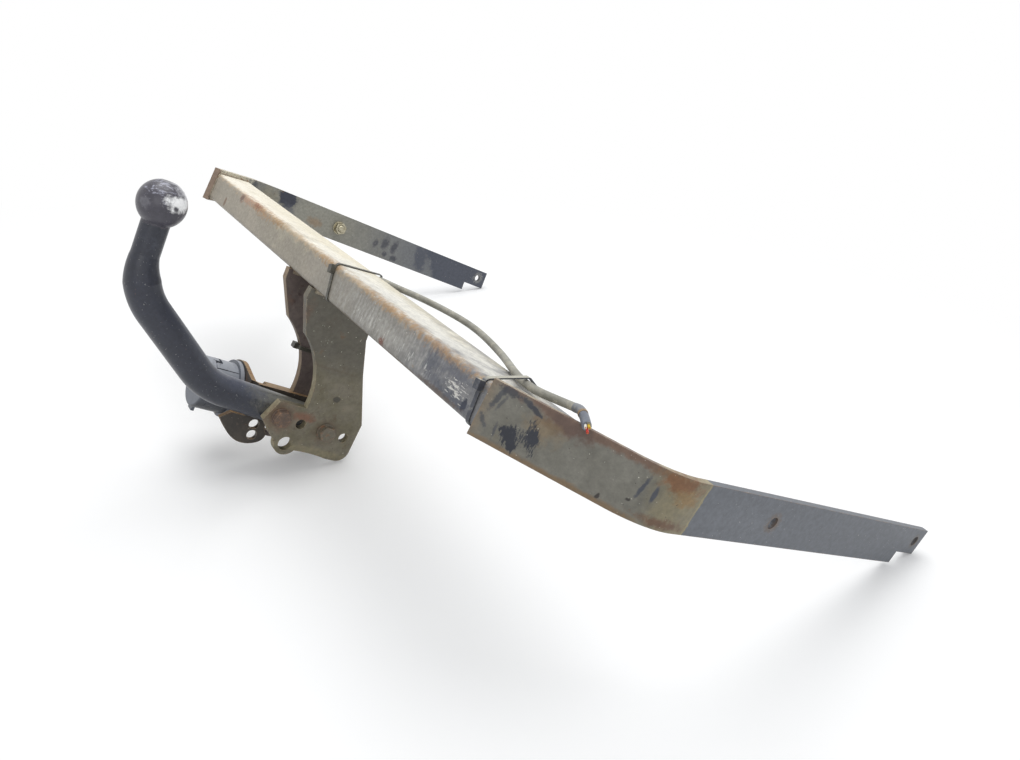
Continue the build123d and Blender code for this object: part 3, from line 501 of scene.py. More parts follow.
def floorMaterial():
    # a pale matt sheet that the camera sees as white, with the object's shadow on it
    mat = newMaterial("Pale floor sheet")
    _, seen = backgroundRays(mat)
    glow = addNode(mat, "Math", {"operation": "MULTIPLY", 1: 0.16}, {0: seen})
    settings = {"Base Color": linear("#eeeeee"), "Roughness": 0.9, "Emission Color": (1, 1, 1, 1)}
    sheet = addNode(mat, "BsdfPrincipled", settings, {"Emission Strength": glow})
    coords = addNode(mat, "TexCoord").outputs["Object"]
    away = addNode(mat, "VectorMath", {"operation": "LENGTH"}, {0: coords}).outputs["Value"]
    far = addNode(mat, "MapRange", {"From Min": 0.7, "From Max": 1.5}, {"Value": away})  # metres out
    far = addNode(mat, "Math", {"operation": "MULTIPLY"}, {0: far, 1: seen})
    white = addNode(mat, "Emission", {"Color": (1, 1, 1, 1), "Strength": 1.0})
    mixed = addNode(mat, "MixShader", {}, {0: far, 1: sheet, 2: white})
    addNode(mat, "OutputMaterial", {}, {0: mixed})
    return mat


floorHalf = 30  # metres
floorMesh = bpy.data.meshes.new("floor")
corners = [(x * floorHalf, y * floorHalf, 0) for x, y in ((-1, -1), (1, -1), (1, 1), (-1, 1))]
floorMesh.from_pydata(corners, [], [(0, 1, 2, 3)])
floorMesh.materials.append(floorMaterial())
floor = bpy.data.objects.new("floor", floorMesh)
floor.location.z = -0.0004  # just under the teeth that stand on it
bpy.context.scene.collection.objects.link(floor)

world = bpy.data.worlds.new("studio")
bpy.context.scene.world = world
world.use_nodes = True
world.node_tree.nodes.clear()
path, seen = backgroundRays(world)
seen = addNode(world, "Math", {"operation": "MAXIMUM"}, {0: seen, 1: path["Is Transmission Ray"]})
sky = addNode(world, "Background", {"Color": (0.96, 0.98, 1, 1), "Strength": 0.5})
backdrop = addNode(world, "Background", {"Color": (1, 1, 1, 1), "Strength": 1.0})
mixed = addNode(world, "MixShader", {}, {0: seen, 1: sky, 2: backdrop})
addNode(world, "OutputWorld", {}, {0: mixed})

for name, place, aim, size, power in (
    ("topLamp", (0.3, 0.4, 3.0), (0, 0, 0.1), 2.6, 62),
    ("frontLamp", (-1.6, -2.2, 1.5), (0, 0, 0.15), 1.8, 12),
):
    lampData = bpy.data.lights.new(name, "AREA")
    lampData.shape = "SQUARE"
    lampData.size = size
    lampData.energy = power
    lamp = bpy.data.objects.new(name, lampData)
    lamp.location = place
    lamp.rotation_euler = (Vector(aim) - Vector(place)).to_track_quat("-Z", "Y").to_euler()
    bpy.context.scene.collection.objects.link(lamp)
bpy.context.scene.view_settings.view_transform = "Standard"
print("camera, floor and light set")


# Cross beam: pale enamel over steel, brown along its rear ridge, scratched near the right end

beamEnamel = wornSteel("Brushed enamel on rolled steel, worn through", {
    # matt warm grey, a painted highlight in cream where it faces up, brown bleeding through along its ridge
    "faces": {"bar": onBar, "rear": onRear, "top": onTop},
    "paint": ("#a79e8f", "#968f81"), "patch": 90,
    "sides": (("#f3ecdb", (0, 0, 1), 0.55, 0.95),),
    "stains": (
        ("#b9b19c", 60, 0.58, 0.76),
        ("#857f73", 34, 0.62, 0.78),
        ("#9d8768", 26, 0.68, 0.8, (1, 1.4, 1)),
    ),
    "marks": (
        # greyer to the right, paler patches on the top
        mark("rear", (60, 0), (120, 60), "#86847f", 40, 0.6, past=True, deep=6, soft=0.8, strength=0.8),
        mark("rear", (260, 0), (60, 60), "#75767a", 30, 0.9, past=True, soft=0.6, strength=0.8),
        mark("top", (-60, 20), (330, 30), "#e0d7bd", 40, 1.6, deep=3, soft=0.5, strength=0.7),
        mark("top", (200, -10), (220, 26), "#f3f0e6", 30, 1.8, deep=3, soft=0.5, strength=0.7),
        # brown along the ridge
        mark("rear", (0, 18), (470, 6), "#bfa684", 7, 2.6, deep=12, stretch=(1.8, 1, 1), sparse=0.5,
             soft=0.6, strength=0.7),
        mark("rear", (-188, 15), (52, 8), "#a98660", 5, 2.6, deep=16, sparse=0.4, soft=0.5, strength=0.9),
        mark("rear", (-205, 16), (18, 5), "#885d40", 4, 2.2, deep=12, sparse=0.3),
        mark("rear", (-248, 15), (27, 7), "#b08d74", 5, 2.2, deep=14, sparse=0.2, strength=0.9),
        mark("rear", (-268, 12), (6, 6), "#6f5446", 4, 1.6, deep=8, strength=0.9),
        mark("rear", (-120, 16), (24, 6), "#a08058", 5, 2.4, deep=14, sparse=0.4, soft=0.5),
        mark("rear", (52, 17), (42, 6), "#a3835c", 4.5, 2.6, deep=12, sparse=0.5, soft=0.5, strength=0.9),
        mark("rear", (205, 17), (66, 6), "#a5855f", 4.5, 2.6, deep=12, sparse=0.4, soft=0.5, strength=0.9),
        mark("rear", (320, 16), (70, 7), "#9c7d5b", 5, 2.6, deep=12, sparse=0.5, soft=0.5, strength=0.9),
        # a paler rubbed band, and bare dark places near the right end
        mark("rear", (215, -3), (110, 17), "#b3b1ab", 9, 3.2, stretch=(0.7, 2.2, 1), sparse=0.6, soft=0.8,
             strength=0.6),
        mark("rear", (309, 1), (11, 12), "#565962", 6, 1.8, stretch=(0.6, 1.8, 1), sparse=0.1, strength=0.85),
        mark("rear", (322, -9), (15, 9), "#5a5c64", 6, 2.0, sparse=0.2, soft=0.5, strength=0.8),
        mark("rear", (348, 7), (26, 6), "#5f6169", 6, 2.0, sparse=0.1, soft=0.5, strength=0.85),
        mark("rear", (356, -12), (28, 7), "#50535c", 7, 1.8, sparse=0.1, strength=0.9),
        mark("rear", (374, -10), (3.5, 6), "#2b303e", 4, 1.0, soft=0.2),
        mark("rear", (218, -16), (5, 5), "#74493a", 4, 1.4, strength=0.9),
        mark("rear", (330, -17), (34, 3), "#5c4f46", 6, 1.8, strength=0.8),
        # pale scratches
        mark("rear", (180, -4), (80, 15), "#c6c4be", 6, 4.4, stretch=(0.55, 2.6, 1), sparse=1.5, soft=0.3,
             strength=0.8),
        mark("rear", (270, -6), (60, 12), "#c3c2be", 6, 4.9, stretch=(0.55, 2.6, 1), sparse=1.7, soft=0.3,
             strength=0.8),
        mark("rear", (353, -4), (20, 9), "#d2d0ca", 4, 4.0, stretch=(2.4, 0.6, 1), sparse=0.8, soft=0.2),
        # a spot at the left, and a dark line along the lower edge
        mark("rear", (-326, -8), (4, 6), "#77604d", 5, soft=0.3),
        mark("rear", (0, -20), (470, 2.4), "#6d5f4f", 18, 1.4, deep=8, stretch=(2, 1, 1), soft=0.15,
             strength=0.7),
    ),
    "rust": ("#8f7455", "#5c4636", 38, 0.68, 0.77),
    "edge": ("#8f7a60", 1.6, 0.5, 0.66),
    "specks": (("#e6e2d6", 2.2, 0.76, 0.78), ("#4a4038", 2.6, 0.79, 0.81)),
    "rough": (0.5, 0.88), "relief": 0.5,
})
finish(["cross_beam"], beamEnamel)


# Chassis arms: olive primer on the near arm's first run, blue-grey enamel past the fold

rightArmPaint = wornSteel("Old primer and enamel on flat bar, brushed", {
    # dull olive grey with brown rims and dark brushed smears, a painted highlight in pale cream where its upper
    # edge faces up
    "faces": {"first": onRightFirst, "second": onRightSecond},
    "paint": ("#77756c", "#68665d"), "patch": 30, "dirt": 6,
    "sides": (("#c9bc9e", (0, 0, 1), 0.7, 0.95),),
    "stains": (
        ("#7d7460", 30, 0.6, 0.78),
        ("#5d564b", 18, 0.66, 0.8),
    ),
    "marks": (
        # brown along the edges, at the weld and round the fold
        mark("first", (-160, 0), (12, 12), "#7c6d59", 12, 0.7, turn=180, past=True, soft=0.5, strength=0.8),
        mark("first", (-60, -1), (110, 5), "#6a5446", 14, 1.5, deep=9),
        mark("first", (-98, -7), (22, 8), "#5b473d", 10, 1.3),
        mark("first", (-112, -18), (14, 9), "#7f6b4c", 9, 1.3, soft=0.5, strength=0.6),
        mark("first", (-70, -49), (120, 3), "#75624a", 12, 1.3),
        mark("first", (-10, -30), (22, 30), "#877d5f", 16, 0.9, past=True, deep=30, soft=0.6, strength=0.75),
        mark("second", (8, -6), (24, 8), "#7a5638", 10, 1.4, deep=14),
        mark("second", (22, -18), (12, 7), "#8f7043", 8, 1.6, deep=10, strength=0.7),
        mark("second", (6, -44), (30, 4), "#6b523e", 8, 1.4, deep=12),
        # dark brushed smear
        mark("first", (-135, -35), (6.8, 6.8), "#151a26", 3, 1.5, turn=31, block=True,
             stretch=(0.7, 2.4, 1), soft=0.15),
        mark("first", (-129.5, -41), (4, 6), "#151a26", 3, 1.5, turn=20, stretch=(0.6, 2.6, 1), soft=0.15),
        mark("first", (-116.5, -28), (4.8, 12), "#1a1f2b", 2.6, 1.9, turn=18, stretch=(0.6, 3, 1), soft=0.2),
        mark("first", (-123, -31), (8, 6.5), "#20242f", 2.2, 2.8, turn=25, stretch=(0.6, 2.8, 1),
             sparse=0.4, soft=0.25, strength=0.9),
        # dark strokes beside the weld and along the top
        mark("first", (-155.5, -12.5), (2.2, 12), "#3c3e44", 3, 1.4, turn=-14, soft=0.3, strength=0.85),
        mark("first", (-151, -15), (1.4, 7), "#43454a", 3, 1.5, turn=-18, soft=0.3, strength=0.7),
        mark("first", (-148.5, -3.5), (9, 3.4), "#33353c", 3.5, 1.4, soft=0.3, strength=0.9),
        mark("first", (-131, -5), (8, 2.4), "#33353c", 3, 1.4, turn=-17, soft=0.25, strength=0.9),
        mark("first", (-124, -7.5), (7.5, 2), "#2b2d35", 3, 1.3, turn=-20, soft=0.2, strength=0.95),
        # pale scuffs, then thin strokes and nicks
        mark("first", (-70, -28), (80, 20), "#a09d90", 3, 5.2, stretch=(0.5, 1.6, 1), sparse=2.7,
             soft=0.3, strength=0.7),
        mark("first", (-158.5, -34), (2, 6), "#44464b", 4, 1.3, turn=40, soft=0.3, strength=0.8),
        mark("first", (-146.5, -37), (1.2, 6), "#44464b", 4, 1.2, turn=7, soft=0.3, strength=0.8),
        mark("first", (-23, -21), (1.9, 11), "#44474f", 4, 0.8, turn=-11, soft=0.25),
        mark("first", (-12.2, -22.5), (2, 7.5), "#44474f", 3, 0.6, turn=-3, deep=30, soft=0.25),
        mark("first", (-51, -44), (1.5, 2.6), "#2e2925", 2, 0.8, turn=-20, soft=0.3),
        mark("first", (-28.6, -35), (2.2, 1.4), "#33302c", 2, 0.9, turn=20, soft=0.3),
        # past the fold the coat is blue-grey, with rust by the holes
        mark("second", (41, -22), (3, 30), "#a0946e", 12, 1.0, past=True, soft=0.2, strength=0.6),
        mark("second", (43.5, -22), (3, 30), "#62666d", 12, 1.0, past=True, soft=0.15),
        mark("second", (120, -30), (60, 16), "#6b6f76", 22, 1.2, soft=0.6, strength=0.6),
        mark("second", (168, -25), (10, 10), "#6a5848", 5, 1.2, soft=0.3, strength=0.7),
        mark("second", (500, -16.5), (9, 9), "#5d564e", 4, 1.0, soft=0.3, strength=0.7),
    ),
    "rust": ("#7d6249", "#54402f", 30, 0.67, 0.77),
    "edge": ("#86705a", 1.6, 0.42, 0.64),
    "specks": (("#d8d4c8", 1.8, 0.765, 0.785), ("#38322c", 2.2, 0.77, 0.79)),
    "rough": (0.48, 0.86), "relief": 0.5,
})
finish(["right_arm"], rightArmPaint)

leftArmPaint = wornSteel("Old enamel on flat bar, patched by brush", {
    # even matt grey, dabbed blue-black towards the tip
    "faces": {"second": onLeftSecond, "first": onLeftFirst}, "depth": 8,
    "paint": ("#85847d", "#787770"), "patch": 60,
    # painted highlight: pale tan where it faces up
    "sides": (("#b3a78d", (0, 0, 1), 0.7, 0.95),),
    "stains": (("#918a75", 30, 0.6, 0.76), ("#5d5a55", 20, 0.66, 0.78)),
    "marks": (
        # paler past the fold, with one dark dab
        mark("second", (120, -22), (90, 40), "#97958a", 24, 0.9, soft=0.7, strength=0.8),
        mark("second", (10, -18), (26, 16), "#989079", 14, 1.4, soft=0.5, strength=0.6),
        mark("second", (60, -9), (17, 18), "#343743", 9, 0.8, turn=-8, soft=0.12),
        mark("second", (66, -33), (12, 13), "#5b5d66", 8, 1.0, strength=0.6),
        mark("second", (121, -31), (14, 7), "#8d7355", 8, 1.2, strength=0.6),
        # darker towards the tip, with blue-black dabs
        mark("second", (262, -20), (90, 30), "#6b6e73", 26, 0.5, turn=12, past=True, soft=0.7, strength=0.8),
        mark("second", (249, -27), (4.5, 8), "#46464d", 6, 1.0, turn=-10, soft=0.35, strength=0.8),
        mark("second", (269, -21), (7, 12), "#3f4049", 6, 1.0, turn=-10, soft=0.35, strength=0.8),
        mark("second", (290, -21), (6, 11), "#3b3c46", 6, 1.0, turn=-10, soft=0.35, strength=0.8),
        mark("second", (274, -40), (5, 5), "#3f4049", 6, 1.0, soft=0.35, strength=0.8),
        mark("second", (296, -42), (7, 5), "#383a44", 6, 1.0, soft=0.35, strength=0.8),
        mark("second", (353, -22), (13, 26), "#4b4f5a", 9, 1.0, turn=14, soft=0.25, strength=0.9),
        mark("second", (376, -25), (16, 30), "#4b4f5a", 14, 1.0, turn=40, past=True, soft=0.25),
        # bare rim of the hole, then the run beside the beam
        mark("second", (500, -16.5), (11, 11), "#8a8a88", 3, 1.4, soft=0.2, strength=0.7),
        mark("first", (-100, -4), (62, 8), "#d4ceba", 8, 1.5, strength=0.9),
        mark("first", (-22, -6), (9, 6), "#45474e", 5, 1.3, soft=0.3, strength=0.8),
        mark("first", (-158, -20), (12, 12), "#8d7969", 10, 0.7, turn=180, past=True, deep=30),
    ),
    "rust": ("#7d6854", "#574538", 30, 0.7, 0.79),
    "edge": ("#6f5a49", 1.6, 0.45, 0.62),
    "specks": (("#cfccc4", 1.8, 0.77, 0.79), ("#3a3632", 2.0, 0.775, 0.795)),
    "rough": (0.48, 0.84), "relief": 0.45,
})
finish(["left_arm"], leftArmPaint)


# Side plates: olive primer gone brown, rust round the bolts and along the fold

sidePlatePaint = wornSteel("Olive primer on hot-rolled plate, weathered", {
    # dry and grainy, olive over brown, with bright flecks where it is chipped
    "faces": {"plate": onRightPlate},
    "paint": ("#777162", "#69634f"), "patch": 28, "dirt": 6,
    # painted highlight: paler olive where a face looks rearwards and up
    "sides": (("#9c9379", (-1, 0, 0.3), 0.5, 0.9),),
    "stains": (
        ("#8b8470", 24, 0.58, 0.74),
        ("#5c4b3a", 16, 0.6, 0.74),
    ),
    "marks": (
        # darker above the bend as painted shade, and the line of the bend, rust with a painted shadow in it
        mark("plate", (0, -106), (60, 60), "#56534b", 30, 0.3, turn=90, past=True, deep=60, soft=0.3,
             strength=0.75),
        mark("plate", (32, -108), (36, 1.6), "#5f5546", 9, 1.4, deep=20, soft=0.6, strength=0.5),
        # rust by the bolts and along the edges
        mark("plate", (0, -184), (18, 16), "#76604e", 8, 1.2, deep=8, soft=0.5, strength=0.9),
        mark("plate", (65, -189), (15, 14), "#70604f", 8, 1.2, deep=8, soft=0.5, strength=0.8),
        mark("plate", (30, -177), (13, 6), "#7b5541", 7, 1.4, deep=8, strength=0.8),
        mark("plate", (-30, -108), (6, 60), "#6b5546", 8, 1.2, deep=60, soft=0.5),
        mark("plate", (60, -218), (50, 5), "#8d8468", 8, 1.2, deep=8, strength=0.6),
        # pale chips, and a nick
        mark("plate", (9, -76), (10, 9), "#aaa899", 2.6, 4.6, deep=30, sparse=1.7, soft=0.2, strength=0.9),
        mark("plate", (60, -144), (5, 4), "#3d3a36", 4, 0.6, deep=6, soft=0.15, strength=0.8),
    ),
    "rust": ("#766150", "#51402f", 24, 0.64, 0.75),
    "edge": ("#a39479", 1.6, 0.42, 0.6),
    "specks": (("#cfcab8", 2.6, 0.755, 0.775), ("#35302a", 2.4, 0.76, 0.78)),
    "rough": (0.55, 0.88), "relief": 0.55,
})
finish(["right_side_plate"], sidePlatePaint)

farPlatePaint = wornSteel("Brown primer on hot-rolled plate, rusted", {
    # red-brown and dusty, with darker blotches
    "faces": {"plate": onLeftPlate},
    "paint": ("#6c615c", "#5e5350"), "patch": 28, "dirt": 6,
    # its rims tan where they face rearwards and up: rust with a painted highlight
    "sides": (("#8f7c66", (-1, 0, 0), 0.6, 0.95), ("#a98f6f", (0, 0, 1), 0.6, 0.95)),
    "stains": (("#75685a", 24, 0.6, 0.76), ("#402f29", 16, 0.6, 0.74)),
    "rust": ("#71594c", "#4b3a34", 22, 0.6, 0.73),
    "edge": ("#9a8a72", 1.6, 0.42, 0.6),
    "specks": (("#b8b2a2", 1.8, 0.77, 0.79),),
    "rough": (0.6, 0.9), "relief": 0.55,
})
finish(["left_side_plate"], farPlatePaint)


# Swan neck: slate enamel, and a bare greasy ball

neckEnamel = wornSteel("Slate enamel on forged steel, sprayed", {
    # smooth satin blue-black, a painted highlight in grey where it faces up; the ball greasy grey, bright where
    # it is rubbed and with painted highlights
    "faces": {"bar": onBar, "ball": onBall},
    "paint": ("#2f323e", "#2a2d37"), "patch": 60,
    "sides": (("#575b68", (-0.3, 0, 1), 0.3, 0.95),),
    "stains": (("#474a55", 24, 0.6, 0.76),),
    "marks": (
        # the ball's greasy film, then its rubbed places, painted highlights and dark places
        mark("ball", (0, 0), (26.5, 26.5), "#47454e", 12, 0.1, deep=26.5, soft=0.03),
        mark("ball", (-7, -12), (15, 13), "#a3a4b2", 4.5, 3.4, depth=16, deep=12, stretch=(2.2, 1, 0.6),
             sparse=0.7, soft=0.3, strength=0.9),
        mark("ball", (4, 4), (20, 20), "#8e8f9c", 5, 3.2, depth=21, deep=8, sparse=0.9, soft=0.3,
             strength=0.8),
        # a painted highlight, white, with a dark spot in it
        mark("ball", (10.5, -18.5), (14, 14), "#ffffff", 8, 1.0, depth=7, deep=8, soft=0.25),
        mark("ball", (8, -22), (3, 4), "#55545a", 3, 0.9, depth=2.5, deep=2.4, soft=0.3),
        # a painted highlight, pale grey
        mark("ball", (17, 2), (11, 14), "#e6e6ea", 6, 1.4, depth=16, deep=9, soft=0.6, strength=0.9),
        mark("ball", (-19, -13), (6, 7), "#7b7a81", 5, 1.4, depth=-1, deep=4.5, strength=0.6),
        # a painted highlight low on the ball's right
        mark("ball", (20, -10), (6, 8), "#a5a3a2", 5, 1.4, depth=-14, deep=5, strength=0.7),
        # dust on the foot, and a pale patch on the ball's left
        mark("bar", (20, -165), (48, 24), "#77766b", 10, 1.0, deep=40, soft=0.5, strength=0.8),
        mark("ball", (0, 24), (14, 8), "#bdbab6", 8, 1.5, depth=2, deep=10, strength=0.8),
    ),
    "rust": ("#6b5648", "#4a3a30", 16, 0.72, 0.78),
    "edge": ("#8c8a86", 1.0, 0.5, 0.66),
    "specks": (("#a9a8a4", 1.6, 0.745, 0.765), ("#8a5a3c", 1.5, 0.79, 0.81)),
    "rough": (0.33, 0.7), "relief": 0.3, "grit": 1.0,
})
finish(["swan_neck"], neckEnamel)


# Socket plate: near-black with brown showing through

socketPlatePaint = wornSteel("Black primer on folded plate, dipped", {
    # dull brown-black, its upper edges tan: rust with a painted highlight from above
    "paint": ("#4b443c", "#3c3733"), "patch": 26,
    "sides": (("#a0805c", (0, 0, 1), 0.6, 0.95),),
    "stains": (("#62574a", 16, 0.6, 0.74),),
    "rust": ("#745038", "#472f25", 18, 0.6, 0.7),
    "edge": ("#a08c72", 1.4, 0.36, 0.56),
    "specks": (("#b5ae9c", 1.6, 0.77, 0.79),),
    "rough": (0.5, 0.86), "relief": 0.5,
})
finish(["socket_plate"], socketPlatePaint)

weldRust = wornSteel("Weld bead, painted over and rusted", {
    # lumpy cream paint with brown showing through
    "paint": ("#aaa08c", "#8e8270"), "patch": 14,
    # painted highlight: paler cream where it faces up
    "sides": (("#cfc4ab", (0, 0, 1), 0.5, 0.95),),
    "stains": (("#b4aa98", 9, 0.58, 0.72),),
    "rust": ("#7c5439", "#4a3024", 10, 0.55, 0.66),
    "specks": (("#3a332d", 1.4, 0.72, 0.75),),
    "rough": (0.55, 0.9), "relief": 0.8, "grit": 1.2,
})
finish(["right_arm_weld", "left_arm_weld", "right_plate_weld", "left_plate_weld"], weldRust)


# Socket, lid and small trim

socketPlastic = plainStock("Glass-filled polyamide, moulded", {
    # blue-grey where light rakes it, near black in shade, chalky with age
    "colour": "#5c6069", "other": "#666a73", "patch": 18, "dust": "#7b7e85",
    "sides": (("#a2a6ae", (0, 0, 1), 0.2, 0.9), ("#292b31", (0, 0, -1), 0.0, 0.7)),
    "dusty": (5, 0.56, 0.74), "scuff": "#7c7e84", "rough": (0.42, 0.66), "grain": 0.7, "relief": 0.3,
})
finish(["socket_housing", "socket_lid"], socketPlastic)
insertPlastic = plainStock("Polyamide insert, moulded black", {
    # plain black, a little dust in it
    "colour": "#1f2022", "other": "#28292b", "dust": "#55524c", "rough": (0.45, 0.7),
})
finish(["contact_insert"], insertPlastic)
contactBrass = plainStock("Brass contacts, turned and tarnished", {
    # dull yellow with brown tarnish
    "colour": "#b59a58", "other": "#957a42", "patch": 3, "dust": "#6e5a38",
    "metal": True, "rough": (0.3, 0.55), "grain": 0.5,
})
finish(["socket_contacts"], contactBrass)
blackRubber = plainStock("EPDM rubber, moulded", {
    # soft black, dusty
    "colour": "#26262a", "other": "#303034", "dust": "#6b675f", "rough": (0.6, 0.85), "grain": 0.6,
})
finish(["flange_gasket", "lid_seal"], blackRubber)
smallZinc = plainStock("Zinc-plated steel, dulled", {
    # grey-white plating with a brown bloom
    "colour": "#a5a39c", "other": "#8d8a82", "patch": 4, "dust": "#7a6452",
    "metal": True, "rough": (0.35, 0.65), "grain": 0.5,
})
finish(["lid_hinge_pin", "socket_screws", "socket_nuts"], smallZinc)
tieNylon = plainStock("Nylon cable tie, moulded", {
    # black gone olive with sun and dirt
    "colour": "#3b3a34", "other": "#4c4a40", "patch": 7, "dust": "#7d786a",
    "scuff": "#8b887c", "scuffWidth": 0.5, "rough": (0.4, 0.65), "grain": 1.0, "relief": 0.4,
})
finish(["beam_tie_middle", "side_plate_tie"], tieNylon)
tieNylonLitTop = plainStock("Nylon cable tie, moulded, painted highlight on top", {
    # slate on its sides with some dust, and a painted highlight, pale, where it faces up
    "colour": "#3c3f47", "other": "#4b4e57", "patch": 7, "dust": "#86857f",
    "sides": (("#b1aea0", (0, 0, 1), 0.55, 0.95),), "scuff": "#8b8a84", "scuffWidth": 0.5,
    "rough": (0.4, 0.65), "grain": 1.0, "relief": 0.4,
})
finish(["beam_tie_right"], tieNylonLitTop)
rustyHardware = wornSteel("Black-oxide bolt, rusted", {
    # rough brown, no shine left on it
    "paint": ("#66564b", "#5a4c43"), "patch": 7,
    "stains": (("#806450", 5, 0.52, 0.68),),
    "marks": (
        mark("bar", (65, -189), (17, 17), "#6f6a5c", 5, 1.2, depth=33, deep=12, soft=0.5, strength=0.9),
    ),
    "rust": ("#8a6a4f", "#52402f", 6, 0.54, 0.7),
    "edge": ("#9a7a5c", 0.8, 0.4, 0.6),
    "rough": (0.6, 0.9), "relief": 0.9, "grit": 1.2,
})
zincHardware = plainStock("Zinc-plated bolt, yellowed", {
    # pale yellow-grey plating, bright at the thread
    "colour": "#b3ad98", "other": "#958e78", "patch": 5, "dust": "#7a6a50",
    "metal": True, "rough": (0.32, 0.6), "grain": 0.6,
})
springSteel = plainStock("Stainless spring wire, drawn", {
    # thin bright wire
    "colour": "#b8b8b6", "other": "#9d9d9a", "patch": 3, "dust": "#7d776c",
    "metal": True, "rough": (0.28, 0.5), "grain": 0.3,
})
print("finishes set")


# Hexagon hardware, turned and chamfered

def turned(name, origin, direction, profile, mat, around=72, turn=0, joined=False, sharp=35):
    # each profile step is a radius and a height in mm; either may be a function of the angle
    side, up, axis = axesAlong(direction)
    loops = []
    for radius, height in profile:
        loop = []
        for k in range(around):
            angle = 2 * pi * k / around
            r = radius(angle) if callable(radius) else radius
            h = height(angle) if callable(height) else height
            out = side * cos(angle + turn) + up * sin(angle + turn)
            loop.append(origin + (out * r + axis * h) / 1000)
        loops.append(loop)
    return rings(name, loops, mat, joined=joined, sharp=sharp)


def hexRadius(across):
    def radius(angle):
        bend = (angle + pi / 6) % (pi / 3) - pi / 6
        return across / 2 / cos(bend)
    return radius


def chamferHeight(across, height, flat):
    # corners cut back at 30 degrees outside the flat's radius
    corner = hexRadius(across)

    def level(angle):
        return height - max(0, corner(angle) - flat) * tan(radians(30))
    return level


def hexHead(name, seat, direction, size, mat, turn):
    across, height = size["across"], size["height"]
    flat = across / 2 * 0.95
    profile = [
        (flat * 0.98, 0), (flat * 0.98, 0.35), (hexRadius(across * 0.995), 0.5),
        (hexRadius(across), chamferHeight(across, height, flat)), (flat, height),
        (flat * 0.86, height - 0.1), (flat * 0.8, height - 0.45), (0.4, height - 0.5),
    ]
    return turned(name, seat, direction, profile, mat, turn=turn, sharp=24)


def hexNut(name, seat, direction, size, mat, turn):
    across, height, bore = size["across"], size["nut"], size["bolt"] / 2 + 0.04
    flat = across / 2 * 0.95
    foot = chamferHeight(across, 0, flat)
    profile = [
        (flat, 0), (hexRadius(across), lambda angle: -foot(angle)),
        (hexRadius(across), chamferHeight(across, height, flat)), (flat, height),
        (bore + 0.9, height), (bore, height - 0.8), (bore, 0.8), (bore + 0.9, 0),
    ]
    return turned(name, seat, direction, profile, mat, turn=turn, joined=True, sharp=24)


def threadEnd(name, start, direction, size, mat, length):
    # a thread whose last turn runs out into a rounded end
    radius, pitch = size["bolt"] / 2, size["thread"]
    steps = int(length / pitch * 10)
    profile = [(radius * 0.6, 0)]
    for step in range(steps + 1):
        level = length * step / steps
        shrink = max(0, level - length + 1.0) * 0.9

        def depth(angle, level=level, shrink=shrink):
            phase = (level / pitch - angle / (2 * pi)) % 1
            return radius - 0.03 - shrink - 0.6 * pitch * abs(2 * phase - 1)
        profile.append((depth, level))
    profile.append((radius * 0.5, length + 0.15))
    return turned(name, start, direction, profile, mat, around=48, sharp=20)


def washer(name, seat, direction, size, mat):
    # a stamped disc, rounded on its upper rim
    outer, inner, thick = size["washer"] / 2, size["bolt"] / 2 + 0.5, size["washerThick"]
    profile = [
        (outer - 0.2, 0), (outer, 0.25), (outer, thick - 0.7), (outer - 0.25, thick - 0.2),
        (outer - 0.8, thick), (inner + 0.3, thick), (inner, thick - 0.3), (inner, 0.2), (inner + 0.2, 0),
    ]
    return turned(name, seat, direction, profile, mat, around=56, joined=True, sharp=30)


def shank(name, start, direction, size, mat, length):
    radius = size["bolt"] / 2
    profile = [(radius - 0.1, 0), (radius, 0.1), (radius, length - 0.1), (radius - 0.1, length)]
    return turned(name, start, direction, profile, mat, around=40)


clampHardware = {  # mm
    "bolt": 12, "thread": 1.75, "across": 19, "height": 7.5, "nut": 10, "washer": 24, "washerThick": 2.5,
    "places": ((0, -184), (65, -189)), "headSeat": -29.5, "nutSeat": 35.5, "stickOut": 4, "turns": (0.3, 1.1),
}
heads, washers, nuts = [], [], []
toRight, toLeft = standTurn @ Vector((0, -1, 0)), standTurn @ Vector((0, 1, 0))
headSeat, nutSeat, thick = (clampHardware[key] for key in ("headSeat", "nutSeat", "washerThick"))
threadSeat = nutSeat + clampHardware["nut"] - 1  # inside the nut's end
rusty = (clampHardware, rustyHardware)
for tag, (x, z), turn in zip("12", clampHardware["places"], clampHardware["turns"]):
    under, threadStart = atBar(x, headSeat, z), atBar(x, threadSeat, z)
    heads.append(hexHead("clampBoltHead" + tag, under, toRight, *rusty, turn))
    heads.append(shank("clampBoltShank" + tag, under, toLeft, *rusty, threadSeat - headSeat))
    heads.append(threadEnd("clampBoltThread" + tag, threadStart, toLeft, *rusty, clampHardware["stickOut"] + 1))
    nuts.append(hexNut("clampNut" + tag, atBar(x, nutSeat, z), toLeft, *rusty, turn + 0.4))
    washers.append(washer("clampHeadWasher" + tag, atBar(x, headSeat + thick, z), toRight, *rusty))
    washers.append(washer("clampNutWasher" + tag, atBar(x, nutSeat - thick, z), toLeft, *rusty))
placePieces(heads, "neck_bolts")
placePieces(nuts, "neck_bolt_nuts")
placePieces(washers, "neck_bolt_washers")

armBolt = {"along": 168, "up": -25, "washerSeat": 8, "nutSeat": 10.5, "shank": 19.5, "thread": 5}  # mm
leftFold, leftAlong, leftIn = mirrored(armFold), mirrored(aheadNow), -mirrored(outwardsNow)
leftUp = leftIn.cross(leftAlong)
inwards = standTurn @ leftIn


def onLeftArm(out):
    # the arm's first hole, out mm in from the arm's outer face
    return atBar(*(leftFold + leftAlong * armBolt["along"] + leftUp * armBolt["up"] + leftIn * out))


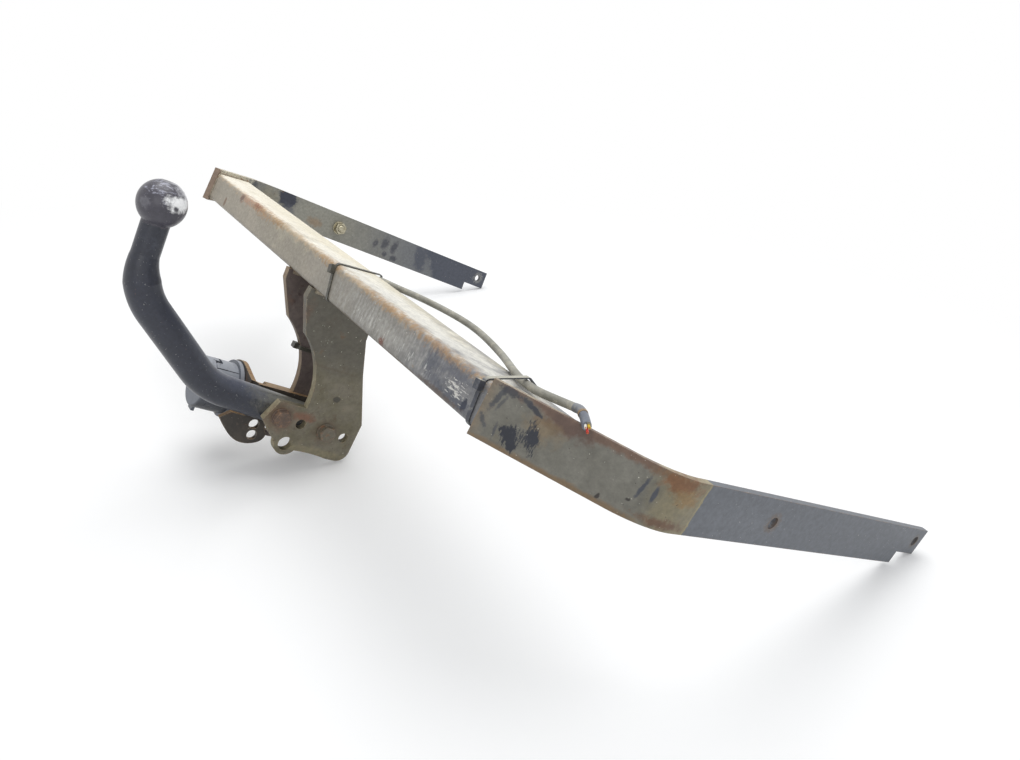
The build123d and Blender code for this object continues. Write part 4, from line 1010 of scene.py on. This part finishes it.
zinc = (clampHardware, zincHardware)
boltParts = [
    hexHead("armBoltHead", onLeftArm(0), -inwards, *zinc, 0.2),
    shank("armBoltShank", onLeftArm(0), inwards, *zinc, armBolt["shank"]),
    threadEnd("armBoltThread", onLeftArm(armBolt["shank"]), inwards, *zinc, armBolt["thread"]),
]
armNut = hexNut("armNut", onLeftArm(armBolt["nutSeat"]), inwards, *zinc, 0.5)
armWasher = washer("armWasher", onLeftArm(armBolt["washerSeat"]), inwards, *zinc)
placePieces(boltParts, "arm_bolt")
placePieces([armNut], "arm_bolt_nut")
placePieces([armWasher], "arm_bolt_washer")
print("bolts, washers and nuts made")


# Weld beads: a row of overlapping ripples along each seam

weldRun = {  # mm
    "ripple": 2.6, "leg": 3.3, "plateLeg": 4.6, "lip": 1.8, "root": 0.2, "step": 0.5, "armStep": 0.6,
}


def weldBead(name, path, outs, aways, legs, mat, joined):
    loops = []
    travelled = 0.0
    for i, place in enumerate(path):
        if i:
            travelled += (place - path[i - 1]).length
        loop = [place - (outs[i] + aways[i]) * weldRun["root"]]
        for step in range(9):
            turn = pi / 2 * step / 8
            crest = travelled / weldRun["ripple"] - 0.45 * sin(2 * turn)  # ripples bow along the run
            uneven = 0.05 * sin(travelled * 0.31) * sin(travelled * 0.13)
            swell = 0.84 + 0.18 * abs(sin(pi * crest)) + uneven
            reach = outs[i] * cos(turn) * legs[i][0] + aways[i] * sin(turn) * legs[i][1]
            loop.append(place + reach * swell)
        loops.append(loop)
    if outs[0].cross(aways[0]).dot(path[1] - path[0]) < 0:
        loops = [loop[::-1] for loop in loops]  # the skin faces outwards on both sides of the towbar
    return rings(name, [[atBar(*p) for p in loop] for loop in loops], mat, joined=joined, sharp=70)


def armSeam(side):
    # round the tube's mitred end, on the arm's inner face
    half, corner = beamSize["wide"] / 2, beamSize["corner"]
    across, up = half - corner, beamSize["tall"] / 2 - corner
    centres = ((across, up), (-across, up), (-across, -up), (across, -up))
    spots = []
    for number, (x, z) in enumerate(centres):
        nextX, nextZ = centres[(number + 1) % 4]
        count = int(hypot(nextX - x, nextZ - z) / weldRun["armStep"])
        spots += [(x, z, pi / 2 * (number + step / 8)) for step in range(9)]
        for share in (step / count for step in range(1, count)):
            spots.append((x + (nextX - x) * share, z + (nextZ - z) * share, pi / 2 * (number + 1)))
    path, outs, legs = [], [], []
    face = outwards if side < 0 else mirrored(outwards)
    for x, z, turn in spots:
        x, z = x + corner * cos(turn), z + corner * sin(turn)
        path.append(Vector((x, side * (beamSize["length"] / 2 + tan(splay) * (x + half)), z)))
        out = Vector((cos(turn), 0, sin(turn)))
        outs.append((out - face * out.dot(face)).normalized())
        legs.append((weldRun["lip"] if cos(turn) < -0.5 else weldRun["leg"], weldRun["leg"]))
    return path, outs, [Vector((0, -side, 0))] * len(path), legs


for side, name, node in ((-1, "rightArmSeam", "right_arm_weld"), (1, "leftArmSeam", "left_arm_weld")):
    placePieces([weldBead(name, *armSeam(side), weldRust, True)], node)

plateWelds = {
    "rear": -34, "points": 137, "lean": (0.147, -0.989),  # inwards and down along the leaning plate
    "sides": (
        (-1, "plateSeamRight", (-29.5, -39.5), "right_plate_weld"),
        (1, "plateSeamLeft", (35.5, 45.5), "left_plate_weld"),
    ),
}
lean, down = plateWelds["lean"]
for side, name, faces, node in plateWelds["sides"]:
    beads = []
    for tag, face, away in zip("12", faces, (-side, side)):
        along = [plateWelds["rear"] + weldRun["step"] * step for step in range(plateWelds["points"])]
        path = [Vector((x, face, -beamSize["tall"] / 2)) for x in along]
        outs = [Vector((0, away, 0))] * len(path)
        aways = [Vector((0, -side * lean, down))] * len(path)
        legs = [(weldRun["plateLeg"], weldRun["plateLeg"])] * len(path)
        beads.append(weldBead(name + tag, path, outs, aways, legs, weldRust, False))
    placePieces(beads, node)
print("weld beads made")


# Cable boot with bellows, flange screws and nuts, lid spring

boot = {  # mm
    "y": 68, "z": -198, "base": -23, "tip": -2, "rim": 21, "rimThick": 3, "neck": 12, "end": 6.5,
    "bore": 3.85, "ribs": 4, "groove": 1.1,
}
forwards = standTurn @ Vector((1, 0, 0))
rim, lip, neck, end, bore = (boot[key] for key in ("rim", "rimThick", "neck", "end", "bore"))
tall = boot["tip"] - boot["base"]
profile = [
    (neck - 1, 0), (rim - 0.3, 0), (rim, 0.3), (rim, lip - 0.5), (rim - 0.5, lip), (neck + 1, lip),
    (neck, lip + 0.6),
]
for rib in range(boot["ribs"]):
    for share, groove in ((0.1, 0), (0.5, 0), (0.62, boot["groove"]), (0.88, boot["groove"])):
        along = (rib + share) / boot["ribs"]
        profile.append((neck + (end - neck) * along - groove, lip + 0.6 + (tall - 4.5) * along))
profile += [
    (end - 0.1, tall - 0.8), (end - 0.6, tall - 0.1), (bore + 0.4, tall), (bore, tall - 0.4), (bore, lip),
]
bootPlace = atBar(boot["base"], boot["y"], boot["z"])
bootPiece = turned("cableBoot", bootPlace, forwards, profile, blackRubber, around=64, sharp=40)
placePieces([bootPiece], "cable_boot")

flangeScrew = {  # mm; turns in degrees round the socket
    "circle": 31.5, "turns": (-64, 64, 180), "bolt": 5, "head": 9, "headTall": 3, "key": 3, "across": 8,
    "nut": 4, "thread": 0.8, "headSeat": -35.5, "nutSeat": -23, "shank": 15.6, "end": 2.9,
}
small = (flangeScrew, smallZinc)
head, tall, hexKey = flangeScrew["head"] / 2, flangeScrew["headTall"], hexRadius(flangeScrew["key"])
profile = [
    (head - 0.2, 0), (head, 0.2), (head, tall * 0.45), (head * 0.9, tall * 0.75), (head * 0.66, tall * 0.95),
    (2.0, tall), (hexKey, tall - 0.1), (hexKey, tall - 1.4), (0.4, tall - 1.6),
]
screws, screwNuts = [], []
for number, turn in enumerate(flangeScrew["turns"]):
    tag = str(number + 1)
    y = boot["y"] + flangeScrew["circle"] * sin(radians(turn))
    z = boot["z"] + flangeScrew["circle"] * cos(radians(turn))
    under, nutPlace = atBar(flangeScrew["headSeat"], y, z), atBar(flangeScrew["nutSeat"], y, z)
    threadStart = atBar(flangeScrew["headSeat"] + flangeScrew["shank"], y, z)
    screws.append(turned("flangeScrewHead" + tag, under, -forwards, profile, smallZinc, around=48, sharp=30))
    screws.append(shank("flangeScrewShank" + tag, under, forwards, *small, flangeScrew["shank"]))
    screws.append(threadEnd("flangeScrewThread" + tag, threadStart, forwards, *small, flangeScrew["end"]))
    screwNuts.append(hexNut("flangeNut" + tag, nutPlace, forwards, *small, 0.3 * number))
placePieces(screws, "socket_screws")
placePieces(screwNuts, "socket_nuts")

lidSpring = {"x": -60, "z": -168.5, "from": 72.9, "to": 75.7, "radius": 2.05, "wire": 0.75, "turns": 3}  # mm
coil = []
for step in range(lidSpring["turns"] * 12 + 1):
    share = step / (lidSpring["turns"] * 12)
    turn = 2 * pi * lidSpring["turns"] * share
    x, z = lidSpring["x"] + lidSpring["radius"] * sin(turn), lidSpring["z"] + lidSpring["radius"] * cos(turn)
    coil.append(atBar(x, lidSpring["from"] + (lidSpring["to"] - lidSpring["from"]) * share, z))
spring = softLine("lidSpring", coil, lidSpring["wire"], 4)
spring.data.materials.append(springSteel)
placePieces([spring], "lid_spring")
print("boot, screws and spring made")


print("done")
